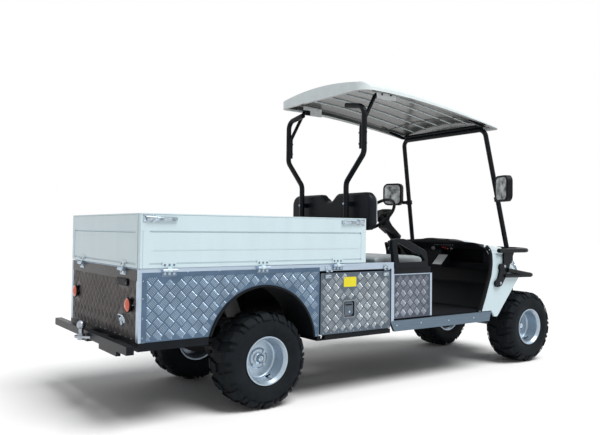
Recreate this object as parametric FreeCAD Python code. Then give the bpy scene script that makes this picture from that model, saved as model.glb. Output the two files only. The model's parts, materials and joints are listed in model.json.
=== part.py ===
import FreeCAD
import Part
import math
import os

V = FreeCAD.Vector

# Utility golf cart. Millimetres; x runs forward from the rear axle, y to the left and z up
# from the ground under the standard tyre. save() moves the whole cart so that its box is
# centred on the origin and its tyres stand on z 0.

# Driving sizes
WHEELBASE = 2512.0
HALF_W = 576.0
AXLE_Z = 280.0
RAIL_TOP = 831.0
ROOF_SHOULDER = 2034.0

# Wheels and steering
TYRE_R = 280.0
TYRE_HALF = 125.0
BEAD_R = 127.0
LUGS = 14
LUG_REACH = 38.0
FLANGE_R = BEAD_R + 14
RIM_HALF = TYRE_HALF - 12
REAR_WHEEL_Y = HALF_W - 127
FRONT_WHEEL_Y = HALF_W - 143
SPINDLE_R = 17.0
RUNNING = 0.05
SEAT_GAP = 0.3
KINGPIN_Y = FRONT_WHEEL_Y - 148
KINGPIN_R = 12.0
STEER_ARM = 110.0

# Chassis and springs
REAR_SPRING_Y = REAR_WHEEL_Y - 217
REAR_SPRING_X = 388.0
FRONT_SPRING_X = 280.0
RAIL_OUT = REAR_SPRING_Y - 72
RAIL_IN = RAIL_OUT - 50
FRONT_SPRING_Y = (RAIL_IN + RAIL_OUT) / 2
CHASSIS_LOW = AXLE_Z + 92
CHASSIS_TOP = CHASSIS_LOW + 69
CHASSIS_FRONT = WHEELBASE + 188

# Bed and body panels
BED_BACK = -790.0
BED_FRONT = 731.0
RAIL_FRONT = BED_FRONT + 249
RAIL_LOW = RAIL_TOP - 41
RAIL_W = 40.0
FLOOR_PLATE = 9.0
BOARD_TOP = RAIL_TOP + 288
BOARD_T = 25.0
BOARD_GAP = 5.0
PANEL_T = 20.0
ANGLE_W = 35.0
SKIRT_LOW_REAR = CHASSIS_TOP + 15
SKIRT_LOW = CHASSIS_LOW + 21
ARCH_X = -35.0
ARCH_Z = AXLE_Z + 77
ARCH_R = 365.0
LIP = 12.0
DOOR_BACK = ARCH_X + ARCH_R + 39
DOOR_FRONT = RAIL_FRONT - 30
DOOR_LOW = SKIRT_LOW + 5
DOOR_TOP = RAIL_LOW - 14
BOARD_PIN_Y = HALF_W + 14
BOARD_PIN_Z = RAIL_TOP - 9
DOOR_PIN_Y = HALF_W + 9
DOOR_PIN_Z = RAIL_LOW - 2
REAR_BEAM_X = BED_BACK - 62
REAR_BEAM_TOP = SKIRT_LOW_REAR - 2
REAR_BEAM_LOW = REAR_BEAM_TOP - 42
REAR_BEAM_HALF = HALF_W + 59
BALL_X = REAR_BEAM_X - 47
BALL_Z = REAR_BEAM_TOP + 35
BALL_R = 25.0

# Cab
SILL_LOW = CHASSIS_LOW - 3
SILL_TOP = CHASSIS_TOP
SILL_FRONT = WHEELBASE - 522
FLOOR_Z = SILL_TOP + 12
SEAT_FRONT = RAIL_FRONT + 370
SEAT_DECK_TOP = RAIL_LOW
SEAT_BASE_TOP = SEAT_DECK_TOP - 38
SEAT_PIN_Z = SEAT_DECK_TOP + 25
CUSHION_HALF = HALF_W - 76
CUSHION_TOP = SEAT_DECK_TOP + 79
CUSHION_BACK = RAIL_FRONT - 100
CUSHION_FRONT = CUSHION_BACK + 490
BACK_X = CUSHION_BACK
BACK_LOW = CUSHION_TOP + 176
BACK_TOP = CUSHION_TOP + 436
BACK_HALF = HALF_W - 111
SHELL_BACK = BACK_X - 16
TUBE_R = 19.0

# Cowl and front
COWL_T = 14.0
DASH_X = WHEELBASE - 312
DASH_LOW = 745.0
KEEL_HALF = HALF_W - 421
GUARD_FRONT = WHEELBASE + 350
GUARD_R = 17.0
FRAME_FOOT = V(WHEELBASE - 264, HALF_W - 60, 941)
FRAME_TOP = V(WHEELBASE - 447, HALF_W - 126, ROOF_SHOULDER - 186)
MIRROR_Y = HALF_W + 36

# Steering wheel: hub centre, slope of its plane, rim radius
WHEEL_HUB = V(WHEELBASE - 942, 250, 1178)
WHEEL_SLOPE = 0.74
WHEEL_R = 165.0
WHEEL_GRIP = 13.0

# Roof and posts
POST_X = BED_FRONT + 86
POST_LOW_Y = HALF_W - 312
POST_HIGH_Y = HALF_W - 125
STRUT_R = 13.0
ROOF_HALF = HALF_W - 71
ROOF_BACK = POST_X - 63
ROOF_FRONT = FRAME_TOP.x + 127
ROOF_LOW = ROOF_SHOULDER - 51

REAR_REACH = -(BALL_X - 34.0)
SHIFT = V(-(GUARD_FRONT - REAR_REACH) / 2, 0, TYRE_R - AXLE_Z)
ORIGIN = V(0, 0, 0)
SIDE = V(0, 1, 0)


def box(x0, x1, y0, y1, z0, z1):
    return Part.makeBox(x1 - x0, y1 - y0, z1 - z0, V(x0, y0, z0))


def rod(start, end, radius):
    return Part.makeCylinder(radius, (end - start).Length, start, end - start)


def drum(x, z, radius, y0, y1):
    """A cylinder along y."""
    return rod(V(x, y0, z), V(x, y1, z), radius)


def post(x, y, radius, z0, z1):
    """A cylinder along z."""
    return rod(V(x, y, z0), V(x, y, z1), radius)


def mirrored(shape):
    return shape.mirror(ORIGIN, SIDE)


def both(shape):
    return [shape, mirrored(shape)]


def join(shapes):
    return shapes[0].fuse(shapes[1:]).removeSplitter()


def on_plane(plane, a, b, level):
    """A point of an outline drawn in one of the three planes."""
    if plane == "xz":
        return V(a, level, b)
    if plane == "yz":
        return V(level, a, b)
    return V(a, b, level)


def bent_path(points, radii, closed):
    """Straight runs joined by tangent arcs of the given radii at the corners."""
    count = len(points)
    corners = []
    for i in range(count):
        here = points[i]
        at_end = not closed and i in (0, count - 1)
        if at_end or radii[i] <= 0:
            corners.append((here, None, here))
            continue
        to_last = (points[i - 1] - here).normalize()
        to_next = (points[(i + 1) % count] - here).normalize()
        half = to_last.getAngle(to_next) / 2
        reach = radii[i] / math.tan(half)
        inward = (to_last + to_next).normalize()
        middle = here + inward * (radii[i] / math.sin(half) - radii[i])
        corners.append((here + to_last * reach, middle, here + to_next * reach))
    edges = []
    for i in range(count):
        first, middle, last = corners[i]
        if middle is not None:
            edges.append(Part.Arc(first, middle, last).toShape())
        if closed or i < count - 1:
            start = corners[(i + 1) % count][0]
            if (start - last).Length > 0.001:
                edges.append(Part.LineSegment(last, start).toShape())
    return Part.Wire(edges)


def outline(points, plane, level):
    """A closed wire from (a, b) or (a, b, corner radius) points."""
    places = [on_plane(plane, p[0], p[1], level) for p in points]
    radii = [p[2] if len(p) > 2 else 0 for p in points]
    return bent_path(places, radii, True)


def prism(points, plane, low, high):
    """An outline drawn in one plane and pushed from low to high along its normal."""
    step = on_plane(plane, 0, 0, high - low)
    return Part.Face(outline(points, plane, low)).extrude(step)


def rounded(x, z, half_x, half_z, corner, y0, y1):
    """A block with rounded corners seen from the side."""
    return prism([(x - half_x, z - half_z, corner), (x - half_x, z + half_z, corner),
                  (x + half_x, z + half_z, corner), (x + half_x, z - half_z, corner)],
                 "xz", y0, y1)


def tube(points, radius, bend):
    """A round bar bent through the points with one bend radius."""
    path = bent_path(points, [bend] * len(points), False)
    start = points[0]
    ring = Part.Wire(Part.makeCircle(radius, start, points[1] - start))
    return path.makePipe(Part.Face(ring))


def spun(points, x, y, z):
    """A (radius, offset outward) outline turned about the wheel axis."""
    face = Part.Face(outline(points, "xy", 0))
    return face.revolve(ORIGIN, SIDE, 360).translate(V(x, y, z))


def ahead(shape):
    """A piece drawn from the front axle's centre line, moved to its place."""
    return shape.translate(V(WHEELBASE, 0, 0))


def save(name, *shapes):
    solids = [solid for shape in shapes for solid in shape.Solids]
    whole = solids[0] if len(solids) == 1 else Part.makeCompound(solids)
    whole.translate(SHIFT)
    whole.exportStep("parts/" + name + ".step")


# Wheels

def tyre_ring(radius, y):
    """One flat-sided ring of the tyre's carcass, with a flat at the top and the bottom."""
    step = math.pi / LUGS
    reach = radius / math.cos(step / 2)
    places = []
    for i in range(2 * LUGS + 1):
        angle = (i + 0.5) * step
        places.append(V(reach * math.sin(angle), y, reach * math.cos(angle)))
    return places


def flat_sided(rings):
    """A solid with a flat face between each two neighbouring corners of its rings."""
    faces = [Part.Face(Part.makePolygon(ring)) for ring in (rings[0], rings[-1])]
    for near, far in zip(rings, rings[1:]):
        for i in range(len(near) - 1):
            corners = [near[i], near[i + 1], far[i + 1], far[i], near[i]]
            faces.append(Part.Face(Part.makePolygon(corners)))
    shell = Part.makeShell(faces)
    shell.sewShape()
    return Part.makeSolid(shell)


def carcass():
    lip = RIM_HALF - 10
    side = [(FLANGE_R - 1, lip), (TYRE_R - 75, TYRE_HALF - 1), (TYRE_R - 14, TYRE_HALF - 25)]
    rings = [tyre_ring(radius, -y) for radius, y in side]
    rings += [tyre_ring(radius, y) for radius, y in reversed(side)]
    bore = [tyre_ring(BEAD_R + SEAT_GAP, y) for y in (-TYRE_HALF, TYRE_HALF)]
    return flat_sided(rings).cut(flat_sided(bore))


def tyre_lug():
    """One tread block: its outline from above, trimmed to the round of the shoulder."""
    half = TYRE_HALF
    top = math.sqrt(TYRE_R ** 2 - LUG_REACH ** 2)
    above = prism([(-LUG_REACH, 6), (22, 6), (44, half + 5), (-22, half + 5)], "xy",
                  TYRE_R - 65, TYRE_R + 1)
    flank = prism([(0, TYRE_R - 30), (0, top), (half - 37, top), (half - 3, TYRE_R - 33),
                   (half - 1, TYRE_R - 56), (half - 15, TYRE_R - 56), (half - 35, TYRE_R - 30)],
                  "yz", -60, 60)
    return above.common(flank)


def tyre(x, y):
    blocks = []
    step = 360.0 / LUGS
    for block, phase in ((tyre_lug(), 0), (mirrored(tyre_lug()), step / 2)):
        for i in range(LUGS):
            blocks.append(block.copy().rotate(ORIGIN, SIDE, phase + i * step))
    whole = carcass().fuse(blocks)
    on_corner = math.degrees(math.asin(LUG_REACH / TYRE_R)) - step / 2
    return whole.rotate(ORIGIN, SIDE, on_corner).translate(V(x, y, AXLE_Z))


def rim(x, y):
    half = RIM_HALF
    bore = SPINDLE_R + RUNNING
    section = [(FLANGE_R, half), (FLANGE_R, half - 6), (BEAD_R, half - 9), (BEAD_R, 9 - half),
               (FLANGE_R, 6 - half), (FLANGE_R, -half), (FLANGE_R - 8, -half),
               (BEAD_R - 8, 15 - half), (BEAD_R - 8, -5, 10), (33, -5), (33, -26), (bore, -26),
               (bore, 10), (0, 10), (0, 28), (22, 28, 4), (34, 20), (34, 12), (52, 12, 4),
               (62, 3, 6), (BEAD_R - 10, 3, 14), (BEAD_R - 6, half - 18), (FLANGE_R - 7, half)]
    body = spun(section, x, y, AXLE_Z)
    nuts = []
    for i in range(4):
        angle = math.pi / 4 + i * math.pi / 2
        nut_x = x + 51 * math.cos(angle)
        nut_z = AXLE_Z + 51 * math.sin(angle)
        nuts.append(drum(nut_x, nut_z, 9, y + 3, y + 20))
    return join([body] + nuts)


def make_wheels():
    for end, x, y in (("rear", 0, REAR_WHEEL_Y), ("front", WHEELBASE, FRONT_WHEEL_Y)):
        left_tyre = tyre(x, y)
        left_rim = rim(x, y)
        save("tyre_" + end + "_right", mirrored(left_tyre))
        save("rim_" + end + "_right", mirrored(left_rim))
        save("tyre_" + end + "_left", left_tyre)
        save("rim_" + end + "_left", left_rim)


def spindle(x, inner_y, wheel_y):
    """The fixed shaft that a wheel turns on."""
    return drum(x, AXLE_Z, SPINDLE_R, inner_y, wheel_y + 9)


def make_rear_axle():
    half = []
    end_y = REAR_WHEEL_Y - 45
    half.append(drum(0, AXLE_Z, 38, 0, end_y - 60))
    half.append(drum(0, AXLE_Z, 88, end_y - 62, end_y))
    half.append(drum(0, AXLE_Z, 26, end_y, end_y + 12))
    half.append(spindle(0, end_y, REAR_WHEEL_Y))
    half.append(box(-45, 45, REAR_SPRING_Y - 25, REAR_SPRING_Y + 25, AXLE_Z, AXLE_Z + 42))
    case = drum(0, AXLE_Z + 10, 92, -70, 60)
    gearbox = drum(70, AXLE_Z + 12, 70, -60, 40)
    motor = drum(110, AXLE_Z + 14, 72, -95, -60)
    bulge = join([case, gearbox, motor])
    right = [mirrored(piece) for piece in half]
    save("rear_axle", join([bulge] + half + right))


def leaf_spring(x, y, reach, z_mid, z_end, leaves):
    """Curved leaves stacked under the main leaf, which rolls into an eye at each end."""
    rise = z_end - z_mid
    radius = (reach * reach + rise * rise) / (2 * rise)
    centre_z = z_mid + radius
    thick = 9.0
    parts = []
    for i in range(leaves):
        span = reach * (1.0 - 0.26 * i)
        outer = drum(x, centre_z, radius + thick * (i + 1), y - 25, y + 25)
        inner = drum(x, centre_z, radius + thick * i, y - 25, y + 25)
        window = box(x - span, x + span, y - 26, y + 26, z_mid - 60, z_end + 30)
        parts.append(outer.cut(inner).common(window))
    for end in (-1, 1):
        parts.append(drum(x + end * reach, z_end, 16, y - 25, y + 25))
    return join(parts)


def make_springs():
    seat = AXLE_Z + 69
    rear = leaf_spring(0, REAR_SPRING_Y, REAR_SPRING_X, seat, seat + 36, 3)
    front = leaf_spring(WHEELBASE, FRONT_SPRING_Y, FRONT_SPRING_X, AXLE_Z + 50, AXLE_Z + 72, 2)
    save("leaf_springs", *(both(rear) + both(front)))


def make_front_axle():
    x = WHEELBASE
    z = AXLE_Z
    parts = [drum(x, z, 19, -KINGPIN_Y + 48, KINGPIN_Y - 48)]
    for side in (-1, 1):
        y = side * KINGPIN_Y
        inner = side * (KINGPIN_Y - 49)
        plate = sorted((inner, inner + side * 12))
        lug = sorted((inner, y + side * 14))
        parts.append(box(x - 20, x + 20, plate[0], plate[1], z - 47, z + 47))
        for low in (z - 47, z + 35):
            parts.append(box(x - 20, x + 20, lug[0], lug[1], low, low + 12))
        parts.append(post(x, y, KINGPIN_R, z - 52, z + 52))
        seat = sorted((side * (FRONT_SPRING_Y - 23), side * (FRONT_SPRING_Y + 23)))
        parts.append(box(x - 40, x + 40, seat[0], seat[1], z, z + 32))
    save("front_axle", join(parts))


def knuckle():
    """Barrel on the kingpin, wheel spindle, brake drum and steering arm, left side."""
    x = WHEELBASE
    z = AXLE_Z
    barrel = post(x, KINGPIN_Y, 24, z - 33, z + 33)
    shaft = spindle(x, KINGPIN_Y + 14, FRONT_WHEEL_Y)
    hub = drum(x, z, 30, KINGPIN_Y + 16, KINGPIN_Y + 60)
    shoe = drum(x, z, 88, KINGPIN_Y + 60, FRONT_WHEEL_Y - 45)
    boss = drum(x, z, 26, FRONT_WHEEL_Y - 46, FRONT_WHEEL_Y - 32)
    tip = x - STEER_ARM - 14
    arm = prism([(x, KINGPIN_Y - 9), (x, KINGPIN_Y + 9), (tip, KINGPIN_Y + 9, 7),
                 (tip, KINGPIN_Y - 9, 7)], "xy", z - 26, z - 14)
    solid = join([barrel, shaft, hub, shoe, boss, arm])
    return solid.cut(post(x, KINGPIN_Y, KINGPIN_R + RUNNING, z - 40, z + 40))


def steering_pod():
    """The moulded shroud that hangs between the steering wheel and the column."""
    x = WHEEL_HUB.x
    z = WHEEL_HUB.z
    y = WHEEL_HUB.y
    side = prism([(x + 74, z + 44, 10), (x + 136, z + 44, 10), (x + 94, z - 48, 20),
                  (x + 142, z - 112, 30), (x + 200, z - 156), (x + 187, z - 164, 8),
                  (x + 134, z - 161, 14), (x + 52, z - 108, 24)], "xz", y - 46, y + 46)
    end = prism([(y - 46, z - 190), (y - 46, z + 44, 22), (y + 46, z + 44, 22),
                 (y + 46, z - 190)], "yz", x, x + 260)
    return side.common(end)


def make_steering():
    save("knuckle_left", knuckle())
    save("knuckle_right", mirrored(knuckle()))
    x = WHEELBASE - STEER_ARM
    low = AXLE_Z - 14 + 0.5
    bar = drum(x, low + 10, 9, -KINGPIN_Y + 8, KINGPIN_Y - 8)
    ends = both(post(x, KINGPIN_Y, 12, low, low + 20))
    save("tie_rod", join([bar] + ends))
    down = V(math.cos(WHEEL_SLOPE), 0, -math.sin(WHEEL_SLOPE))
    up_rim = V(math.sin(WHEEL_SLOPE), 0, math.cos(WHEEL_SLOPE))
    ring = Part.makeTorus(WHEEL_R, WHEEL_GRIP, WHEEL_HUB, down)
    hub = Part.makeCylinder(38, 40, WHEEL_HUB + down * 8, down)
    pad = Part.makeCylinder(52, 16, WHEEL_HUB + down * 2, down)
    start = WHEEL_HUB + down * 16
    spokes = []
    for across, along in ((1, 0.12), (-1, 0.12), (0.0, -1)):
        tip = WHEEL_HUB + SIDE * (across * WHEEL_R) + up_rim * (along * WHEEL_R)
        spokes.append(rod(start, tip, 9))
    save("steering_wheel", join([ring, hub, pad] + spokes))
    top = WHEEL_HUB + down * 48.5
    dash_face = WHEEL_HUB + down * 600
    shroud = Part.makeCone(34, 46, 250, top, down)
    shaft = rod(top, dash_face, 24)
    column = join([shroud, shaft, steering_pod()])
    outside = column.cut(dash_solid())
    save("steering_column", max(outside.Solids, key=lambda solid: solid.Volume))


# Chassis

def hanger(x, y, z, top):
    """A block that sits on the eye at one end of a leaf spring."""
    block = box(x - 18, x + 18, y - 25, y + 25, z, top)
    return block.cut(drum(x, z, 16 + SEAT_GAP, y - 26, y + 26))


def make_chassis():
    rail = box(REAR_BEAM_X + 20, CHASSIS_FRONT, RAIL_IN, RAIL_OUT, CHASSIS_LOW, CHASSIS_TOP)
    parts = both(rail)
    reach = HALF_W - PANEL_T - 2
    for x0 in (SEAT_FRONT - 30, SILL_FRONT - 110):
        parts.append(box(x0, x0 + 50, -reach, reach, CHASSIS_LOW + 8, SILL_TOP))
    parts.append(box(CHASSIS_FRONT - 40, CHASSIS_FRONT, -RAIL_OUT, RAIL_OUT, CHASSIS_LOW,
                     CHASSIS_TOP))
    eye_z = AXLE_Z + 72
    horn = WHEELBASE + FRONT_SPRING_X + 18
    parts += both(box(CHASSIS_FRONT - 5, horn, RAIL_IN, RAIL_OUT, CHASSIS_LOW, CHASSIS_LOW + 8))
    for x in (WHEELBASE - FRONT_SPRING_X, WHEELBASE + FRONT_SPRING_X):
        parts += both(hanger(x, FRONT_SPRING_Y, eye_z, CHASSIS_LOW + 8))
    save("chassis_frame", join(parts))


def rear_rails():
    return both(box(REAR_BEAM_X, 0, RAIL_IN, RAIL_OUT, CHASSIS_LOW, CHASSIS_TOP))


def make_rear_subframe():
    """The rear beam, and the ring under the bed's tail, notched over the rails."""
    beam_in = HALF_W - 31
    beam_out = HALF_W - 1
    cross_front = ARCH_X - ARCH_R + 9
    parts = [box(REAR_BEAM_X - 20, REAR_BEAM_X + 20, -REAR_BEAM_HALF, REAR_BEAM_HALF,
                 REAR_BEAM_LOW, REAR_BEAM_TOP)]
    ring = both(box(BED_BACK, cross_front, beam_in, beam_out, REAR_BEAM_LOW, SKIRT_LOW_REAR))
    for x0 in (BED_BACK, cross_front - 40):
        ring.append(box(x0, x0 + 40, -beam_out, beam_out, REAR_BEAM_LOW, SKIRT_LOW_REAR))
    eye_z = AXLE_Z + 105
    ring += both(hanger(-REAR_SPRING_X, REAR_SPRING_Y, eye_z, REAR_BEAM_LOW + 8))
    parts.append(join(ring).cut(rear_rails()))
    bracket = box(REAR_BEAM_X - 12, REAR_BEAM_X + 12, -HALF_W + 104, -200, REAR_BEAM_LOW - 30,
                  REAR_BEAM_LOW)
    parts[0] = join([parts[0], bracket])
    save("rear_subframe", *parts)


def make_outriggers():
    """Brackets from the rails to the beams under the storage boxes, one set each side."""
    low = SKIRT_LOW - 28
    outer = HALF_W - 1
    back = DOOR_BACK - 24
    arm_out = REAR_SPRING_Y + 68
    front = DOOR_FRONT - 40
    parts = [box(back, back + 40, arm_out - 25, outer, low, SKIRT_LOW),
             box(back, back + 40, arm_out - 25, arm_out, low, CHASSIS_TOP),
             box(back + 21, back + 65, RAIL_OUT, arm_out, CHASSIS_TOP - 37, CHASSIS_TOP),
             box(front, front + 40, RAIL_OUT, outer, low, SKIRT_LOW),
             box(back, DOOR_FRONT, outer - 30, outer, low, SKIRT_LOW)]
    eye = drum(REAR_SPRING_X, AXLE_Z + 105, 16 + SEAT_GAP, 0, HALF_W)
    block = hanger(REAR_SPRING_X, REAR_SPRING_Y, AXLE_Z + 105, CHASSIS_TOP - 31)
    left = join(parts + [block]).cut(eye)
    save("outriggers", *both(left))


def make_tow_ball():
    tongue_low = REAR_BEAM_LOW + 6
    tongue_top = tongue_low + 12
    back = REAR_BEAM_X - 20
    tongue = prism([(back, -75), (back, 75), (BALL_X - 10, 33, 10), (BALL_X - 34, 30, 20),
                    (BALL_X - 34, -30, 20), (BALL_X - 10, -33, 10)],
                   "xy", tongue_low, tongue_top)
    stem = post(BALL_X, 0, 13, tongue_low - 14, BALL_Z - 15)
    collar = post(BALL_X, 0, 22, tongue_top, tongue_top + 10)
    nut = post(BALL_X, 0, 19, tongue_low - 14, tongue_low)
    ball = Part.makeSphere(BALL_R, V(BALL_X, 0, BALL_Z))
    save("tow_ball", join([tongue, stem, collar, nut, ball]))


# Bed

def side_hinges():
    """Where the hinges of a side board sit along the bed."""
    return [BED_BACK + 163, BED_BACK + 739, BED_FRONT - 234]


def tail_hinges():
    return [-(HALF_W - 221), HALF_W - 221]


def door_hinges():
    return [DOOR_BACK + 56, DOOR_FRONT - 43]


def hinge_fixed(x, length):
    """Rail half of a board hinge: leaf, two outer knuckles and the pin, left side."""
    third = length / 3
    leaf = box(x - length / 2, x + length / 2, HALF_W, HALF_W + 4, RAIL_LOW + 2, RAIL_TOP - 5)
    pin = rod(V(x - length / 2, BOARD_PIN_Y, BOARD_PIN_Z),
              V(x + length / 2, BOARD_PIN_Y, BOARD_PIN_Z), 5)
    parts = [leaf, pin]
    for start in (x - length / 2, x + length / 2 - third):
        parts.append(rod(V(start, BOARD_PIN_Y, BOARD_PIN_Z),
                         V(start + third, BOARD_PIN_Y, BOARD_PIN_Z), 9))
        parts.append(box(start, start + third, HALF_W, BOARD_PIN_Y, BOARD_PIN_Z - 9,
                         BOARD_PIN_Z - 4))
    return join(parts)


def hinge_moving(x, length):
    """Board half of a hinge: leaf and the middle knuckle, left side."""
    third = length / 3
    half = third / 2 - 1
    low = RAIL_TOP + BOARD_GAP
    leaf = box(x - length / 2, x + length / 2, HALF_W, HALF_W + 4, low, low + 34)
    barrel = rod(V(x - half, BOARD_PIN_Y, BOARD_PIN_Z), V(x + half, BOARD_PIN_Y, BOARD_PIN_Z), 9)
    web = box(x - half, x + half, HALF_W, BOARD_PIN_Y - 4, BOARD_PIN_Z + 4, low + 5)
    bore = rod(V(x - half - 1, BOARD_PIN_Y, BOARD_PIN_Z),
               V(x + half + 1, BOARD_PIN_Y, BOARD_PIN_Z), 5 + RUNNING)
    return join([leaf, barrel, web]).cut(bore)


def along_x(x0, x1, y, z, radius):
    return rod(V(x0, y, z), V(x1, y, z), radius)


def door_hinge_fixed(x):
    """Rail half of a storage door hinge, left side: leaf, outer knuckles and pin."""
    y = DOOR_PIN_Y
    z = DOOR_PIN_Z
    parts = [box(x - 24, x + 24, HALF_W, HALF_W + 3, RAIL_LOW + 3, RAIL_TOP - 12),
             along_x(x - 24, x + 24, y, z, 3.5)]
    for x0 in (x - 24, x + 9):
        parts.append(along_x(x0, x0 + 15, y, z, 6))
        parts.append(box(x0, x0 + 15, HALF_W, y, z + 3, z + 6))
    return join(parts)


def door_hinge_moving(x):
    """Door half of a storage door hinge, left side."""
    y = DOOR_PIN_Y
    z = DOOR_PIN_Z
    leaf = box(x - 24, x + 24, HALF_W, HALF_W + 3, DOOR_TOP - 34, DOOR_TOP)
    barrel = along_x(x - 8, x + 8, y, z, 6)
    web = box(x - 8, x + 8, HALF_W, y - 4, DOOR_TOP - 10, z + 3)
    bore = along_x(x - 9, x + 9, y, z, 3.5 + RUNNING)
    return join([leaf, barrel, web]).cut(bore)


def turned(shape):
    """A left-side hinge piece turned to the back of the bed."""
    copy = shape.copy()
    copy.rotate(ORIGIN, V(0, 0, 1), 90)
    copy.translate(V(BED_BACK + HALF_W, 0, 0))
    return copy


def board(length, low, high):
    """A folded aluminium board drawn along x at y 0..BOARD_T, with pressed grooves outside."""
    body = box(0, length, 0, BOARD_T, low, high)
    grooves = []
    for z, depth in ((RAIL_TOP + 23, 3), (high - 94, 4), (high - 15, 3)):
        face = prism([(BOARD_T + 1, z - 9), (BOARD_T - depth, z - 4), (BOARD_T - depth, z + 4),
                      (BOARD_T + 1, z + 9)], "yz", 30, length - 30)
        grooves.append(face)
    return body.cut(grooves)


def make_boards():
    low = RAIL_TOP + BOARD_GAP
    length = BED_FRONT - BED_BACK
    side = board(length, low, BOARD_TOP).translate(V(BED_BACK, HALF_W - BOARD_T, 0))
    left = join([side] + [hinge_moving(x, 80) for x in side_hinges()])
    save("side_board_left", left)
    save("side_board_right", mirrored(left))
    inner = HALF_W - BOARD_T - BOARD_GAP
    tail = board(2 * inner, low, BOARD_TOP).translate(V(-inner, HALF_W - BOARD_T, 0))
    pieces = [turned(tail)]
    for y in tail_hinges():
        pieces.append(turned(hinge_moving(y, 80)))
    save("tailboard", join(pieces))
    front = board(2 * inner, RAIL_TOP - FLOOR_PLATE, BOARD_TOP).translate(V(-inner, -BOARD_T, 0))
    foot = RAIL_W - BOARD_T - BOARD_GAP
    for x0 in (-inner - 1, inner - foot):
        front = front.cut(box(x0, x0 + foot + 1, -BOARD_T - 1, 1, 0, RAIL_TOP))
    front.rotate(ORIGIN, V(0, 0, 1), -90)
    save("headboard", front.translate(V(BED_FRONT - 2, 0, 0)))
    z = BOARD_TOP - 28
    latches = []
    for start, way in ((BED_BACK + 13, 1), (BED_FRONT - 13, -1)):
        xs = sorted((start, start + way * 67))
        plate = box(xs[0], xs[1], HALF_W, HALF_W + 4, z - 20, z + 22)
        xs = sorted((start + way * 20, start + way * 190))
        lever = prism([(xs[0], z - 11, 5), (xs[0], z + 11, 5), (xs[1], z + 9, 8),
                       (xs[1], z - 9, 8)], "xz", HALF_W + 4, HALF_W + 14)
        latches.append(join([plate, lever]))
    save("latches_left", *latches)
    save("latches_right", *[mirrored(latch) for latch in latches])


def make_bed_frame():
    w = HALF_W
    inner = w - RAIL_W
    ring = box(BED_BACK, RAIL_FRONT, -w, w, RAIL_LOW, RAIL_TOP)
    ring = ring.cut(box(BED_BACK + RAIL_W, RAIL_FRONT + 1, -inner, inner, RAIL_LOW - 1,
                        RAIL_TOP + 1))
    parts = [ring]
    for x0 in (BED_BACK + 370, BED_BACK + 770, BED_FRONT - 351, BED_FRONT - 31,
               BED_FRONT + 69):
        parts.append(box(x0, x0 + 40, -inner, inner, RAIL_LOW, RAIL_TOP - FLOOR_PLATE))
    corner = box(BED_BACK, BED_BACK + ANGLE_W, w - ANGLE_W, w, SKIRT_LOW_REAR, RAIL_LOW)
    corner = corner.cut(box(BED_BACK + 6, BED_BACK + ANGLE_W + 1, w - ANGLE_W - 1, w - 6,
                            SKIRT_LOW_REAR - 1, RAIL_LOW + 1))
    parts += both(corner)
    front = box(DOOR_FRONT + 8, RAIL_FRONT + 2, w - ANGLE_W, w, SILL_TOP, RAIL_LOW)
    parts += both(front)
    for x in side_hinges():
        parts += both(hinge_fixed(x, 80))
    for y in tail_hinges():
        parts.append(turned(hinge_fixed(y, 80)))
    for x in door_hinges():
        parts += both(door_hinge_fixed(x))
    save("bed_frame", join(parts))
    inner_x = BED_BACK + RAIL_W
    floor = box(inner_x, BED_FRONT - 2 - BOARD_T, -inner, inner, RAIL_TOP - FLOOR_PLATE,
                RAIL_TOP)
    save("bed_floor", floor)


def make_skirts():
    w = HALF_W - 2
    back = BED_BACK + ANGLE_W
    sheet = prism([(back, SKIRT_LOW_REAR), (back, RAIL_LOW), (DOOR_BACK - 8, RAIL_LOW),
                   (DOOR_BACK - 8, SKIRT_LOW), (ARCH_X, SKIRT_LOW), (ARCH_X, SKIRT_LOW_REAR)],
                  "xz", w - PANEL_T, w)
    sheet = sheet.cut(drum(ARCH_X, ARCH_Z, ARCH_R, w - 100, w + 10))
    save("side_skirts", *both(sheet))
    ring = drum(ARCH_X, ARCH_Z, ARCH_R, w - PANEL_T - 6, w + 8)
    ring = ring.cut(drum(ARCH_X, ARCH_Z, ARCH_R - LIP, 0, w + 20))
    ring = ring.cut(box(ARCH_X - 400, ARCH_X, 0, 700, -100, SKIRT_LOW_REAR))
    ring = ring.cut(box(ARCH_X - 1, ARCH_X + 400, 0, 700, -100, SKIRT_LOW))
    save("arch_lips", *both(ring))
    outer_r = ARCH_R - 1
    inner_y = REAR_WHEEL_Y - TYRE_HALF - 34
    liner = drum(ARCH_X, ARCH_Z, outer_r, inner_y, w - PANEL_T - 6)
    liner = liner.cut(drum(ARCH_X, ARCH_Z, outer_r - 5, inner_y - 10, w))
    liner = liner.cut(box(ARCH_X - 400, ARCH_X, 0, 700, -100, SKIRT_LOW_REAR))
    liner = liner.cut(box(ARCH_X - 1, ARCH_X + 400, 0, 700, -100, SKIRT_LOW))
    save("wheel_liners", *both(liner))
    rear = prism([(-w + ANGLE_W, SKIRT_LOW_REAR), (-w + ANGLE_W, RAIL_LOW),
                  (w - ANGLE_W, RAIL_LOW), (w - ANGLE_W, SKIRT_LOW_REAR)],
                 "yz", BED_BACK + 1, BED_BACK + 1 + PANEL_T)
    save("rear_panel", rear)
    lamps = []
    lamp_z = RAIL_TOP - 191
    for side in (-1, 1):
        y = side * (HALF_W - 121)
        stalk = rod(V(BED_BACK + 1, y, lamp_z), V(BED_BACK - 7, y, lamp_z), 16)
        rim_ring = rod(V(BED_BACK - 7, y, lamp_z), V(BED_BACK - 15, y, lamp_z), 38)
        lens = Part.makeSphere(60, V(BED_BACK + 32, y, lamp_z))
        lens = lens.common(rod(V(BED_BACK - 15, y, lamp_z), V(BED_BACK - 40, y, lamp_z), 36))
        lamps.append(join([stalk, rim_ring, lens]))
    save("tail_lamps", *lamps)


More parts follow.
